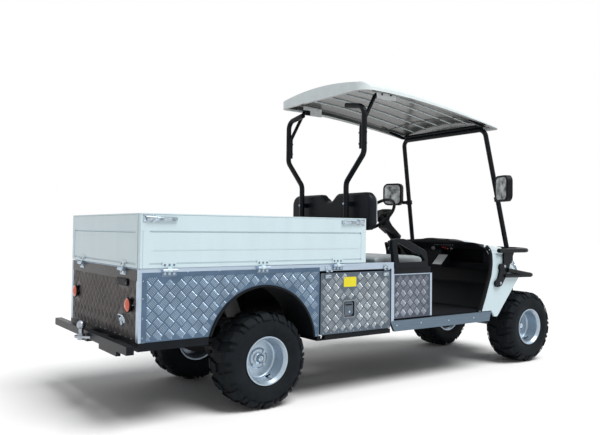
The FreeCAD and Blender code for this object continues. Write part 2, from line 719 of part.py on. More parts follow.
def make_storage():
    w = HALF_W
    face = w - PANEL_T - 5
    inner_y = HALF_W - 236
    x0 = DOOR_BACK + 6
    x1 = DOOR_FRONT - 6
    tub = box(x0, x1, inner_y, face, SKIRT_LOW + 6, RAIL_LOW - 5)
    tub = tub.cut(box(x0 + 5, x1 - 5, inner_y + 5, w, SKIRT_LOW + 11, RAIL_LOW - 10))
    feet = box(x0, x1, inner_y + 90, inner_y + 130, SKIRT_LOW, SKIRT_LOW + 6)
    save("storage_boxes", *both(join([tub, feet])))
    door = prism([(DOOR_BACK, DOOR_LOW, 8), (DOOR_BACK, DOOR_TOP, 8), (DOOR_FRONT, DOOR_TOP, 8),
                  (DOOR_FRONT, DOOR_LOW, 8)], "xz", w - PANEL_T, w)
    latch_x = (DOOR_BACK + DOOR_FRONT) / 2 - 63.5
    latch_z = DOOR_LOW + 147
    door = door.cut(rounded(latch_x, latch_z, 44, 50, 12, w - 14, w + 1))
    paddle = rounded(latch_x, latch_z + 3, 34, 37, 8, w - 14, w - 4)
    hinges = [door_hinge_moving(x) for x in door_hinges()]
    left = join([door, paddle] + hinges)
    save("storage_door_left", left)
    save("storage_door_right", mirrored(left))


# Cab

def make_seat():
    w = HALF_W - 6
    side = prism([(RAIL_FRONT + 3, FLOOR_Z), (RAIL_FRONT + 3, SEAT_BASE_TOP),
                  (SEAT_FRONT, SEAT_BASE_TOP), (SEAT_FRONT, FLOOR_Z)], "xz", w - PANEL_T, w)
    front = box(SEAT_FRONT - PANEL_T, SEAT_FRONT, -w, w, FLOOR_Z, SEAT_BASE_TOP)
    save("seat_base", join(both(side) + [front]))
    back = CUSHION_BACK + 25
    neck = HALF_W - 246
    deck = prism([(back, -neck), (back, neck), (RAIL_FRONT + 4, neck), (RAIL_FRONT + 4, w, 6),
                  (SEAT_FRONT + 4, w, 30), (SEAT_FRONT + 4, -w, 30), (RAIL_FRONT + 4, -w, 6),
                  (RAIL_FRONT + 4, -neck)], "xy", SEAT_BASE_TOP, SEAT_DECK_TOP)
    pin_x = CUSHION_BACK + 10
    ears = []
    notches = []
    straps = []
    for side in (-1, 1):
        for y in (181, 233):
            ear = prism([(back, SEAT_BASE_TOP + 6), (back, SEAT_DECK_TOP), (back, SEAT_PIN_Z),
                         (pin_x, SEAT_PIN_Z + 9, 8), (pin_x - 9, SEAT_PIN_Z, 8),
                         (pin_x - 6, SEAT_DECK_TOP - 10)], "xz", side * y - 3, side * y + 3)
            ears.append(ear)
        ears.append(drum(pin_x, SEAT_PIN_Z, 5, side * 207 - 29, side * 207 + 29))
        notches.append(box(CUSHION_BACK - 1, back + 14, side * 207 - 33, side * 207 + 33,
                           SEAT_DECK_TOP, SEAT_PIN_Z + 18))
        strap = join([drum(pin_x, SEAT_PIN_Z, 9, side * 207 - 20, side * 207 + 20),
                      box(pin_x, back + 20, side * 207 - 20, side * 207 + 20,
                          SEAT_PIN_Z - 2, SEAT_PIN_Z + 9)])
        straps.append(strap.cut(drum(pin_x, SEAT_PIN_Z, 5 + RUNNING, side * 207 - 30,
                                     side * 207 + 30)))
    save("seat_deck", join([deck] + ears))
    save("battery_pack", box(RAIL_FRONT + 20, SEAT_FRONT - 35, 106 - HALF_W, HALF_W - 106,
                             FLOOR_Z, SEAT_BASE_TOP - 52))
    cushion = prism([(CUSHION_BACK, SEAT_DECK_TOP + SEAT_GAP, 12), (CUSHION_BACK, CUSHION_TOP - 4, 25),
                     (CUSHION_FRONT - 40, CUSHION_TOP, 60), (CUSHION_FRONT, CUSHION_TOP - 22, 25),
                     (CUSHION_FRONT, SEAT_DECK_TOP + SEAT_GAP, 12)],
                    "xz", -CUSHION_HALF, CUSHION_HALF)
    save("seat_cushion", join([cushion.cut(notches)] + straps))
    save("seat_back_shell", back_shell())
    save("seat_back", back_pad())
    save("armrests", *both(armrest()))


def back_outline(inset):
    """Two humps with a dip between them, seen from behind."""
    w = BACK_HALF - inset
    top = BACK_TOP - inset
    half = [(28, top - 56, 50), (95, top, 60), (w, top, 75 - inset), (w, BACK_LOW + inset, 55)]
    return half + [(-p[0], p[1], p[2]) for p in reversed(half)]


def softened(shape, x, radius):
    """Rounds off the rim of the face that lies at x."""
    rim_edges = [edge for edge in shape.Edges
                 if abs(edge.BoundBox.XMin - x) < 0.01 and edge.BoundBox.XLength < 0.01]
    return shape.makeFillet(radius, rim_edges)


def back_shell():
    """A moulded tub, rounded behind, that holds the pad in its mouth."""
    tub = softened(prism(back_outline(0), "yz", SHELL_BACK, BACK_X + 40), SHELL_BACK, 26)
    return tub.cut(prism(back_outline(14), "yz", BACK_X, BACK_X + 50))


def back_pad():
    front = BACK_X + 78
    return softened(prism(back_outline(14 + SEAT_GAP), "yz", BACK_X + SEAT_GAP, front), front, 26)


def armrest():
    """A moulded hoop with a thick top that slopes down to the front."""
    x = RAIL_FRONT
    z = SEAT_DECK_TOP
    low = HALF_W - 33
    high = HALF_W + 1
    hoop = prism([(x + 10, z), (x - 15, z + 150), (x - 16, z + 198, 22), (x + 105, z + 199, 120),
                  (x + 318, z + 112, 60), (x + 330, z)], "xz", low, high)
    hole = prism([(x + 52, z + 40, 12), (x + 27, z + 178, 16), (x + 262, z + 86, 40),
                  (x + 302, z + 40, 9)], "xz", low - 5, high + 5)
    hoop = hoop.cut(hole)
    rims = [edge for edge in hoop.Edges
            if edge.BoundBox.YLength < 0.01 and edge.BoundBox.ZMax > z + 1]
    return hoop.makeFillet(7, rims)


def make_floor():
    w = HALF_W - PANEL_T - 1
    pan = box(RAIL_FRONT + 3, SILL_FRONT, -w, w, SILL_TOP, FLOOR_Z)
    save("floor_pan", pan)
    sill = prism([(DOOR_FRONT + 40, SILL_LOW), (DOOR_FRONT + 2, SILL_TOP),
                  (SILL_FRONT, SILL_TOP), (SILL_FRONT - 22, SILL_LOW)],
                 "xz", HALF_W - PANEL_T, HALF_W)
    save("sills", *both(sill))
    w = HALF_W - COWL_T
    wall = prism([(-522, SILL_TOP), (-522, FLOOR_Z), (-390, 640, 60), (-384, DASH_LOW),
                  (-376, DASH_LOW), (-380, 636, 60), (-512, SILL_TOP)], "xz", -w, w)
    save("firewall", ahead(wall))


def front_arch(inset):
    """The cowl seen from the front: upright sides, crowned top and shoulders that fall ahead."""
    t = inset
    arches = []
    for x, fall in ((-812, 0), (488, 165)):
        half = [(HALF_W - t, 0), (HALF_W - t, 925 - t - fall, 70),
                (HALF_W - 90, 985 - t - fall, 90)]
        arch = half + [(0, 1001 - t, 900)]
        arch += [(-p[0], p[1]) + tuple(p[2:]) for p in reversed(half)]
        arches.append(outline(arch, "yz", x))
    return ahead(Part.makeLoft(arches, True, True))


def hood_plan(inset):
    """The cowl seen from above: upright up to the fender tops, then drawn in as it rises."""
    t = inset
    w = HALF_W - t
    cheek = HALF_W - 171 - t / 2
    tip = HALF_W - 391 - t / 2
    plans = []
    for lean, fall in ((0, 0), (329, 343)):
        half = [(-712 - t, w), (-182 - t / 2 - lean, w, 90), (48 - t / 2 - lean, cheek, 200),
                (288 - t - fall, tip, 90)]
        plans.append(half + [(p[0], -p[1]) + tuple(p[2:]) for p in reversed(half)])
    low = prism(plans[0], "xy", 0, 690)
    rise = [outline(plans[0], "xy", 690), outline(plans[1], "xy", 1010)]
    return low.fuse(Part.makeLoft(rise, True, True))


def cowl_outer(inset):
    """The cowl's outside as the meeting of its side, top and front outlines."""
    t = inset
    nose = 288 - t
    side = prism([(-652 - 3 * t, 446 - 20 * t), (-594 - 3 * t, 562, 150),
                  (-522 - 3 * t, 780, 160), (-537 - 3 * t, 930, 60), (-608 - 3 * t, 972 - t, 12),
                  (-512, 1000 - t, 120), (-252, 974 - t, 300), (188 - t, 800 - t, 160),
                  (nose, 640, 90), (nose - 30, 446 - 20 * t), (-482, 446 - 20 * t)],
                 "xz", -HALF_W - 100, HALF_W + 100)
    w = HALF_W - t
    return ahead(side.common(hood_plan(t))).common(front_arch(t))


def arch_cut(inset, inner_y):
    t = inset
    shape = prism([(-464 - t, 380 - t), (-407 - t, 445), (-182 - t / 2, 690 + t, 130),
                   (48, 712 + t, 160), (228, 640 + t, 90), (488, 560), (488, 100),
                   (-464 - t, 100)], "xz", inner_y, HALF_W + 224)
    return both(ahead(shape))


def cab_space():
    """The room behind the cowl, narrower above the dash where the white skin wraps over."""
    w = HALF_W - COWL_T
    back = DASH_X - WHEELBASE
    legs = prism([(-812, w), (back, w), (back, -w), (-812, -w)], "xy", 300, DASH_LOW)
    over = prism([(-812, w), (-590, w), (back, w - 230), (back, 230 - w), (-590, -w), (-812, -w)],
                 "xy", DASH_LOW, 1200)
    return ahead(legs.fuse(over))


def make_cowl():
    outer = cowl_outer(0)
    tip = prism([(-518, 446), (-482, 398), (-448, 398), (-352, 500), (-518, 500)],
                "xz", HALF_W - COWL_T, HALF_W)
    outer = join([outer] + both(ahead(tip)))
    outer = outer.cut(arch_cut(0, KEEL_HALF))
    inner = cowl_outer(COWL_T).cut(arch_cut(COWL_T, KEEL_HALF - COWL_T))
    shell = outer.cut([inner, cab_space()])
    shell = max(shell.Solids, key=lambda solid: solid.Volume)
    feet = both(frame_foot_hole())
    shell = shell.cut(feet)
    save("cowl", shell)
    lamps = []
    for side in (-1, 1):
        spot = V(WHEELBASE + 128, side * (HALF_W - 276), 738)
        way = V(0.58, side * 0.72, 0.38).normalize()
        lens = Part.makeSphere(90, spot - way * 66)
        lens = lens.common(rod(spot - way * 20, spot + way * 60, 52))
        lamps.append(max(lens.cut(outer).Solids, key=lambda solid: solid.Volume))
    save("head_lamps", *lamps)


def frame_foot_hole():
    way = (FRAME_TOP - FRAME_FOOT).normalize()
    return rod(FRAME_FOOT - way * 170, FRAME_FOOT + way * 60, TUBE_R + SEAT_GAP)


def dash_solid():
    w = HALF_W - COWL_T
    back = DASH_X - WHEELBASE
    body = prism([(-598, 952, 12), (-582, 984, 20), (-522, 995, 40), (back, 985),
                  (back, DASH_LOW), (-502, DASH_LOW, 10), (-518, 800, 30), (-528, 890, 60)],
                 "xz", -w, w)
    pockets = [box(-612, -392, -w + 62, -80, 800, 905), box(-612, -432, w - 162, w - 42, 810, 905)]
    for y in (-60, 60):
        pockets.append(post(-462, y, 38, 900, 1010))
    t = COWL_T
    skin = cowl_outer(1).cut([cowl_outer(t), cab_space()])
    return ahead(body.cut(pockets)).common(ahead(hood_plan(1))).common(front_arch(1)).cut(skin)


def make_dash():
    save("dash", dash_solid())
    pads = []
    for y, width in ((330, 60), (175, 45)):
        pad = prism([(-510, 470), (-522, 482), (-456, 576), (-444, 564)], "xz",
                    y - width, y + width)
        pads.append(ahead(pad))
    save("pedals", *pads)


def frame_tube():
    way = (FRAME_TOP - FRAME_FOOT).normalize()
    foot = FRAME_FOOT - way * 150
    right_foot = V(foot.x, -foot.y, foot.z)
    right_top = V(FRAME_TOP.x, -FRAME_TOP.y, FRAME_TOP.z)
    return tube([foot, FRAME_TOP, right_top, right_foot], TUBE_R, 60)


def make_windshield_frame():
    save("windshield_frame", frame_tube())


def make_guard():
    front = GUARD_FRONT - GUARD_R
    y = HALF_W + 18
    bar_y = HALF_W - 456
    parts = []
    front_y = HALF_W - 386
    upper = [V(-456, y, 898), V(-112, y, 897), V(68, y - 132, 895), V(333, front_y, 893)]
    lower = [V(-352, y, 748), V(-54, y, 702), V(132, y - 132, 690), V(333, front_y, 686)]
    for half in (upper, lower):
        run = half + [V(p.x, -p.y, p.z) for p in reversed(half)]
        parts.append(ahead(tube(run, GUARD_R, 90)))
    for side in (-1, 1):
        bar = side * bar_y
        parts.append(rod(V(front, bar, 640), V(front, bar, 893), 14))
        parts.append(tube([V(front, bar, 660), V(front, bar, 470),
                           V(CHASSIS_FRONT + 60, bar, 415)], 14, 50))
        parts.append(box(CHASSIS_FRONT, CHASSIS_FRONT + 75, bar - 14, bar + 14, 400, 430))
        inside, outside = sorted((side * y, side * (HALF_W + 1)))
        plate = prism([(-388, 910, 8), (-250, 910, 8), (-311, 804, 60), (-329, 758, 30),
                       (-380, 681, 40), (-417, 632, 25), (-463, 618, 25), (-494, 648, 20),
                       (-454, 690, 20), (-433, 750, 20), (-390, 800, 20)], "xz", inside, outside)
        parts.append(ahead(rod(V(-385, side * y, 704), V(-60, side * y, 698), GUARD_R - 3)))
        for a, b in ((-466, 648), (-416, 771)):
            parts.append(ahead(rod(V(a, inside, b), V(a, outside, b), 27)))
        parts.append(ahead(plate))
    save("front_guard", join(parts))


def make_mirrors():
    pieces = []
    way = (FRAME_TOP - FRAME_FOOT).normalize()
    base = FRAME_FOOT + way * (0.396 * (FRAME_TOP - FRAME_FOOT).Length)
    clamp = rod(base - way * 18, base + way * 18, TUBE_R + 8)
    clamp = clamp.cut(rod(base - way * 30, base + way * 30, TUBE_R + SEAT_GAP))
    arm = tube([base + V(0, TUBE_R + 4, 0), base + V(-20, TUBE_R + 40, 0),
                V(base.x - 84, MIRROR_Y - 20, base.z + 20)], 15, 20)
    shell = prism([(-92, -100, 40), (-92, 100, 40), (92, 100, 50), (92, -100, 50)],
                  "yz", -22, 22)
    shell.rotate(ORIGIN, V(0, 0, 1), 22)
    shell.translate(V(base.x - 84, MIRROR_Y, base.z + 74))
    pieces.append(join([clamp, arm.cut(rod(base - way * 40, base + way * 40, TUBE_R + 3)),
                        shell]))
    save("mirrors", *(pieces + [mirrored(pieces[0])]))


def make_posts():
    x = POST_X
    foot = RAIL_TOP - FLOOR_PLATE
    y = POST_HIGH_Y
    rise = ROOF_LOW - BACK_TOP
    main = tube([V(x, POST_LOW_Y, foot), V(x, POST_LOW_Y, BACK_TOP + rise / 10),
                 V(x, y, BACK_TOP + 0.383 * rise), V(x, y, ROOF_LOW - 0.152 * rise),
                 V(x, y - 190, ROOF_LOW - 0.105 * rise)], TUBE_R, rise / 10)
    side_y = y - TUBE_R - STRUT_R - 1
    strut_low = BACK_TOP + 0.428 * rise
    strut_bend = strut_low + 0.387 * (ROOF_LOW - strut_low)
    strut = tube([V(x, side_y, strut_low), V(x, side_y, strut_bend),
                  V(x + 124, side_y, ROOF_LOW - 8)], STRUT_R, 60)
    lug = box(x + 118, x + 180, side_y, side_y + STRUT_R, ROOF_LOW - 29, ROOF_LOW + 7)
    parts = [main, strut, lug]
    for z in (strut_low + 0.05 * rise, strut_bend - 0.06 * rise):
        parts.append(rod(V(x, side_y - STRUT_R - 6, z), V(x, y + TUBE_R + 5, z), 7))
    for z in (BACK_LOW + 55, BACK_TOP - 80):
        parts.append(box(x, SHELL_BACK, POST_LOW_Y - 16, POST_LOW_Y + 16, z - 16, z + 16))
    parts.append(box(x - 28, x + 28, POST_LOW_Y - 35, POST_LOW_Y + 35, foot, foot + 8))
    save("roof_posts", *both(join(parts)))


def roof_drop(x, start, fall, power):
    return fall * (max(0.0, x - start) / (ROOF_FRONT - start)) ** power


def roof_section(x, half, low, shoulder, crown):
    """A closed cross-section: flat below, upright sides, round shoulders, arched top."""
    edge = half - 60
    places = [V(x, -half, low), V(x, -half, shoulder - 30), V(x, -edge, shoulder + 4),
              V(x, edge, shoulder + 4), V(x, half, shoulder - 30), V(x, half, low)]
    lines = [Part.LineSegment(places[0], places[1]).toShape(),
             Part.Arc(places[1], V(x, -half + 16, shoulder - 7), places[2]).toShape(),
             Part.Arc(places[2], V(x, 0, crown), places[3]).toShape(),
             Part.Arc(places[3], V(x, half - 16, shoulder - 7), places[4]).toShape(),
             Part.LineSegment(places[4], places[5]).toShape(),
             Part.LineSegment(places[5], places[0]).toShape()]
    return Part.Wire(lines)


def roof_form(inset, depth):
    """The canopy's outside, or its inside when inset, as a loft of arched sections."""
    count = 6
    sections = []
    for i in range(count):
        x = ROOF_BACK + (ROOF_FRONT - ROOF_BACK) * i / (count - 1)
        low = ROOF_LOW - roof_drop(x, ROOF_BACK + 246, 130, 1.5) - depth
        shoulder = ROOF_SHOULDER - roof_drop(x, ROOF_BACK + 196, 160, 1.5)
        arch = 40 - 10.0 * i / (count - 1)
        sections.append(roof_section(x, ROOF_HALF - inset, low, shoulder - inset * 0.4,
                                     shoulder + arch - inset * 0.4))
    form = Part.makeLoft(sections, True, False)
    back = ROOF_BACK + inset
    front = ROOF_FRONT - inset
    half = ROOF_HALF - inset
    plan = prism([(back, -half, 90 - inset), (front, 8 - half, 42 - inset),
                  (front, half - 8, 42 - inset), (back, half, 90 - inset)],
                 "xy", ROOF_LOW - 283, ROOF_LOW + 217)
    return form.common(plan)


def make_roof():
    hollow = roof_form(30, 90)
    lowered = hollow.copy().translate(V(0, 0, -9))
    ribs = []
    for y in (-300, -150, 0, 150, 300):
        rib = hollow.common(box(ROOF_BACK + 120, ROOF_FRONT - 160, y - 6, y + 6,
                                ROOF_LOW - 383, ROOF_LOW + 217))
        ribs.append(rib.cut(lowered))
    shell = roof_form(0, 0).cut(hollow)
    save("roof", join([shell] + ribs))
    side_y = POST_HIGH_Y - TUBE_R - 1
    rear = box(POST_X + 127, POST_X + 305, side_y, side_y + 5, ROOF_LOW - 29,
               ROOF_LOW + 117).common(hollow)
    x = FRAME_TOP.x
    z = FRAME_TOP.z
    arm = prism([(x + 13, z + 12), (x - 25, z + 12), (x - 173, z + 47), (x - 173, z + 142),
                 (x - 75, z + 142)], "xz", FRAME_TOP.y - 10, FRAME_TOP.y).common(hollow)
    save("roof_brackets", *(both(rear) + both(arm.cut(frame_tube()))))


def main():
    os.makedirs("parts", exist_ok=True)
    make_wheels()
    make_rear_axle()
    make_springs()
    make_front_axle()
    make_steering()
    make_chassis()
    make_rear_subframe()
    make_outriggers()
    make_tow_ball()
    make_boards()
    make_bed_frame()
    make_skirts()
    make_storage()
    make_seat()
    make_floor()
    make_cowl()
    make_dash()
    make_windshield_frame()
    make_guard()
    make_mirrors()
    make_posts()
    make_roof()


main()
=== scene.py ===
import json
import math

import bmesh
import bpy
from mathutils import Matrix, Vector
from mathutils.bvhtree import BVHTree


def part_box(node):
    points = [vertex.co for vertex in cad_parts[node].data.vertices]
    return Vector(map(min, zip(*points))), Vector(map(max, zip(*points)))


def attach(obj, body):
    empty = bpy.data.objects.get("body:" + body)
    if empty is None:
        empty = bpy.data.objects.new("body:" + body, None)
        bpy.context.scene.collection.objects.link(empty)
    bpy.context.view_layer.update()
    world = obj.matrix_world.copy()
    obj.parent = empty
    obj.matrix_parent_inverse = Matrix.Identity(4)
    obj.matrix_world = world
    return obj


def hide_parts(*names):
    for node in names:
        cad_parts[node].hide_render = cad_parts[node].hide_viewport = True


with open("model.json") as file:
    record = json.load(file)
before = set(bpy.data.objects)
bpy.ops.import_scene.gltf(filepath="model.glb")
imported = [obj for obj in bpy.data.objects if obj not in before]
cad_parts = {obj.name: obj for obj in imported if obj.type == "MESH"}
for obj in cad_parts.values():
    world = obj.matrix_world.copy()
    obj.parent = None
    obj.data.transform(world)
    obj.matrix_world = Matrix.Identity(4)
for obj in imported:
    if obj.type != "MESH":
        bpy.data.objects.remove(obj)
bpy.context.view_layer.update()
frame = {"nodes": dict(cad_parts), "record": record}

# Utility golf cart with a drop-side bed. Places are given as in the CAD model: millimetres
# forward of the rear axle, to the left, and up from the ground. at() turns them into metres.

NODES = frame["nodes"]
REAR_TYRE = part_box("tyre_rear_left")
REAR_AXLE_X = (REAR_TYRE[0].x + REAR_TYRE[1].x) / 2

HALF_W = 576.0
RAIL_LOW = 790.0
RAIL_TOP = 831.0
BOARD_TOP = 1119.0
BED_BACK = -790.0
BED_FRONT = 731.0
RAIL_FRONT = 980.0
DOOR_BACK = 369.0
DOOR_FRONT = 950.0
DOOR_LOW = 398.0
DOOR_TOP = 776.0
SKIRT_LOW_REAR = 456.0
SKIRT_LOW = 393.0
ARCH = (-35.0, 357.0)
ARCH_R = 365.0
REAR_HALF_W = 548.0
BED_HALF_W = 536.0
SEAT_FRONT = 1350.0
SEAT_BASE_TOP = 752.0
FLOOR_Z = 453.0
FRONT_AXLE = 2512.0
WHEEL_R = 280.0
SIDES = (("right", -1), ("left", 1))
WHEELS = [(end + "_" + word, side) for end in ("rear", "front") for word, side in SIDES]

# Hinges along their boards and doors; fittings as places on the face that they sit on.
SIDE_HINGES = (-627.0, -51.0, 497.0)
TAIL_HINGES = (-355.0, 355.0)
DOOR_HINGES = (425.0, 907.0)
LATCH = (596.0, 545.0)
DOOR_PLATE = (601.0, 716.0)
TAIL_LAMP = (455.0, 640.0)
PLATE_BAR = (-350.0, 755.0)
REAR_CATCH = (-345.0, 550.0)

OUT = {-1: Vector((0, -1, 0)), 1: Vector((0, 1, 0))}
BACK = Vector((-1, 0, 0))
FRONT = Vector((1, 0, 0))
UP = Vector((0, 0, 1))


def at(x, y, z):
    return Vector((REAR_AXLE_X + x / 1000, y / 1000, z / 1000))


# Materials

MATS = {}


def node_input(node, name, value):
    node.inputs[name].default_value = value


def node_tree(owner):
    owner.use_nodes = True
    return owner.node_tree.nodes, owner.node_tree.links


def mapped(nodes, links, stretch):
    coords = nodes.new("ShaderNodeTexCoord")
    place = nodes.new("ShaderNodeMapping")
    node_input(place, "Scale", stretch)
    links.new(coords.outputs["Object"], place.inputs["Vector"])
    return place.outputs["Vector"]


def noise(nodes, links, vector, scale, detail=4.0):
    texture = nodes.new("ShaderNodeTexNoise")
    node_input(texture, "Scale", scale)
    node_input(texture, "Detail", detail)
    links.new(vector, texture.inputs["Vector"])
    return texture.outputs["Fac"]


def spread_out(nodes, links, factor, from_low, from_high, low=0.0, high=1.0):
    ramp = nodes.new("ShaderNodeMapRange")
    node_input(ramp, "From Min", from_low)
    node_input(ramp, "From Max", from_high)
    node_input(ramp, "To Min", low)
    node_input(ramp, "To Max", high)
    links.new(factor, ramp.inputs["Value"])
    return ramp.outputs["Result"]


def two_tone(nodes, links, factor, first, second):
    """A mix of two colours; either may be a socket."""
    mix = nodes.new("ShaderNodeMix")
    mix.data_type = "RGBA"
    for socket, tone in (("A", first), ("B", second)):
        if isinstance(tone, tuple):
            mix.inputs[socket].default_value = (*tone, 1)
        else:
            links.new(tone, mix.inputs[socket])
    links.new(factor, mix.inputs["Factor"])
    return mix.outputs["Result"]


def shade(color, factor):
    return tuple(min(1.0, part * factor) for part in color)


def finish(name, color, rough, metal=0.0, coat=0.0, spread=0.08, patch=9.0, grain=500.0,
           bump=0.00004, stretch=(1, 1, 1), rough_spread=0.06, gloss=0.5, dust=None,
           dust_share=0.0):
    """Adds a finish with clouded colour, uneven gloss, a fine grain and settled dust."""
    material = bpy.data.materials.new(name)
    nodes, links = node_tree(material)
    shader = nodes["Principled BSDF"]
    vector = mapped(nodes, links, stretch)
    cloud = spread_out(nodes, links, noise(nodes, links, vector, patch), 0.3, 0.7)
    tone = two_tone(nodes, links, cloud, shade(color, 1 - spread), shade(color, 1 + spread))
    if dust:
        film = noise(nodes, links, vector, patch * 2.3, 6.0)
        share = spread_out(nodes, links, film, 0.45, 0.75, 0.0, dust_share)
        tone = two_tone(nodes, links, share, tone, dust)
    links.new(tone, shader.inputs["Base Color"])
    fine = noise(nodes, links, vector, grain, 2.0)
    links.new(spread_out(nodes, links, fine, 0.3, 0.7, max(0.02, rough - rough_spread),
                         rough + rough_spread), shader.inputs["Roughness"])
    relief = nodes.new("ShaderNodeBump")
    node_input(relief, "Strength", 1.0)
    node_input(relief, "Distance", bump)
    links.new(fine, relief.inputs["Height"])
    links.new(relief.outputs["Normal"], shader.inputs["Normal"])
    node_input(shader, "Metallic", metal)
    node_input(shader, "Coat Weight", coat)
    node_input(shader, "Coat Roughness", 0.08)
    node_input(shader, "Specular IOR Level", gloss)
    MATS[name] = material
    return material


def chequer(name, color):
    """Rolled aluminium plate with clouded dust; the bar copies are painted lighter as
    highlight and the plate copies darker as shade between the bars.
    """
    finish(name, color, 0.33, metal=1.0, spread=0.14, patch=6.0, grain=260.0, bump=0.00006,
           dust=shade(color, 0.6), dust_share=0.5, rough_spread=0.1)


BLACK = (0.0045, 0.0065, 0.0095)
RUBBER = (0.0085, 0.0115, 0.0145)
DUST = (0.10, 0.09, 0.075)
WHITE = (0.60, 0.735, 0.785)
BRUSHED = (1, 14, 14)
# Lit and shaded copies of one tread plate, a plate and a bar colour for each panel. The bars
# are painted lighter as highlight and the plate darker as shade between them. The skirt copy
# is bluer and the door copy more neutral, as painted reflection. The seat copy is painted
# darker as shade, and the rear copy darkest.
CHEQUER_LIT_AND_SHADED = {
    "chequer": (0.105, 0.16, 0.235), "chequer_bars": (0.38, 0.475, 0.57),
    "chequer_door": (0.12, 0.15, 0.185), "chequer_door_bars": (0.45, 0.485, 0.51),
    "chequer_seat": (0.095, 0.11, 0.14), "chequer_seat_bars": (0.30, 0.33, 0.385),
    "chequer_rear": (0.034, 0.03, 0.03), "chequer_rear_bars": (0.085, 0.075, 0.072)}


def make_metals():
    finish("black_steel", BLACK, 0.33, spread=0.2, gloss=0.14, dust=DUST, dust_share=0.02)
    finish("zinc_steel", (0.36, 0.39, 0.43), 0.28, metal=1.0, spread=0.25, patch=60.0,
           rough_spread=0.1)
    finish("cast_metal", (0.02, 0.02, 0.022), 0.6, bump=0.0002, gloss=0.25, dust=DUST,
           dust_share=0.2)
    finish("spring_steel", (0.016, 0.016, 0.017), 0.55, bump=0.0001, gloss=0.25, dust=DUST,
           dust_share=0.2)
    finish("aluminium", (0.44, 0.53, 0.63), 0.34, metal=1.0, spread=0.06, stretch=BRUSHED,
           grain=90.0, rough_spread=0.1)
    finish("sill_aluminium", (0.14, 0.19, 0.24), 0.4, metal=1.0, spread=0.07,
           stretch=BRUSHED, grain=90.0, rough_spread=0.1)
    for name, color in CHEQUER_LIT_AND_SHADED.items():
        chequer(name, color)
    finish("board_white", WHITE, 0.34, coat=0.15, spread=0.02, stretch=(1, 1, 0.25),
           dust=shade(WHITE, 0.8), dust_share=0.12)
    finish("chrome", (0.40, 0.47, 0.53), 0.12, metal=1.0, rough_spread=0.05, spread=0.45,
           patch=55.0)
    finish("rim_paint", (0.42, 0.505, 0.585), 0.3, metal=0.7, spread=0.05, patch=20.0,
           dust=(0.2, 0.21, 0.22), dust_share=0.2)
    finish("mirror_glass", (0.21, 0.225, 0.23), 0.05, metal=1.0, spread=0.85, patch=22.0,
           rough_spread=0.02, bump=0.000005)


def make_plastics():
    finish("battery_plastic", (0.02, 0.02, 0.024), 0.5, gloss=0.25)
    finish("black_plastic", (0.005, 0.0065, 0.0085), 0.5, bump=0.00012, grain=900.0,
           gloss=0.15, spread=0.15)
    finish("shell_plastic", (0.006, 0.009, 0.013), 0.42, bump=0.0001, grain=900.0,
           gloss=0.14, spread=0.12, dust=DUST, dust_share=0.02)
    finish("dash_plastic", (0.0035, 0.0045, 0.0065), 0.55, bump=0.00022, grain=700.0,
           gloss=0.12, spread=0.15)
    finish("lamp_red", (0.66, 0.075, 0.015), 0.18, coat=0.6, spread=0.06, bump=0.0003,
           grain=160.0)
    finish("lamp_clear", (0.60, 0.66, 0.72), 0.1, coat=1.0, spread=0.05, metal=0.4,
           bump=0.0004, grain=120.0, stretch=(1, 1, 0.1))
    finish("grey_vinyl", (0.30, 0.335, 0.35), 0.46, bump=0.00018, grain=620.0, spread=0.06,
           gloss=0.4)
    finish("black_rubber", (0.007, 0.008, 0.01), 0.7, bump=0.0003, stretch=(1, 40, 1),
           grain=12.0, gloss=0.1, dust=DUST, dust_share=0.05)
    finish("tyre_rubber", RUBBER, 0.62, bump=0.0003, grain=240.0, spread=0.2, patch=12.0,
           gloss=0.09, dust=(0.02, 0.019, 0.018), dust_share=0.35)
    finish("cowl_white", (0.56, 0.70, 0.75), 0.2, coat=0.5, spread=0.015,
           dust=shade(WHITE, 0.75), dust_share=0.06)
    finish("yellow_plate", (0.78, 0.68, 0.012), 0.4, spread=0.05, patch=60.0)
    finish("card_white", (0.72, 0.75, 0.76), 0.5, spread=0.05, patch=80.0)
    finish("light_red", (0.45, 0.02, 0.012), 0.3, spread=0.1)
    finish("light_amber", (0.5, 0.13, 0.012), 0.3, spread=0.1)
    finish("mark_grey", (0.20, 0.21, 0.22), 0.4, spread=0.1)
    # The roof's ribs are painted dark grey as shade, like the underside they run along.
    finish("rib_grey", (0.085, 0.087, 0.078), 0.5, spread=0.1)


def make_roof_white():
    """Moulded white outside; where the surface looks down, the underside is painted dark grey
    as shade.
    """
    material = finish("roof_white", (0.76, 0.84, 0.85), 0.3, coat=0.2, spread=0.02,
                      dust=(0.45, 0.46, 0.44), dust_share=0.12)
    nodes, links = node_tree(material)
    base = nodes["Principled BSDF"].inputs["Base Color"]
    painted = base.links[0].from_socket
    geometry = nodes.new("ShaderNodeNewGeometry")
    split = nodes.new("ShaderNodeSeparateXYZ")
    links.new(geometry.outputs["Normal"], split.inputs["Vector"])
    # Painted shade: the colour turns dark grey as the surface faces further down.
    down = spread_out(nodes, links, split.outputs["Z"], -0.06, -0.3)
    under_shade = two_tone(nodes, links, noise(nodes, links, mapped(nodes, links, (1, 1, 1)), 5.0),
                     (0.028, 0.03, 0.027), (0.042, 0.044, 0.039))
    links.new(two_tone(nodes, links, down, painted, under_shade), base)


SLOTS = {row["node"]: row["material_slot"] for row in frame["record"]["subparts"]}
# The door, seat base and rear panel take the lit and shaded copies of the tread plate: painted
# reflection on the door, painted shade on the seat base and rear panel.
OWN_FINISH = {"storage_door_right": "chequer_door", "storage_door_left": "chequer_door",
              "seat_base": "chequer_seat", "rear_panel": "chequer_rear",
              "sills": "sill_aluminium", "seat_back_shell": "shell_plastic",
              "roof_brackets": "card_white"}


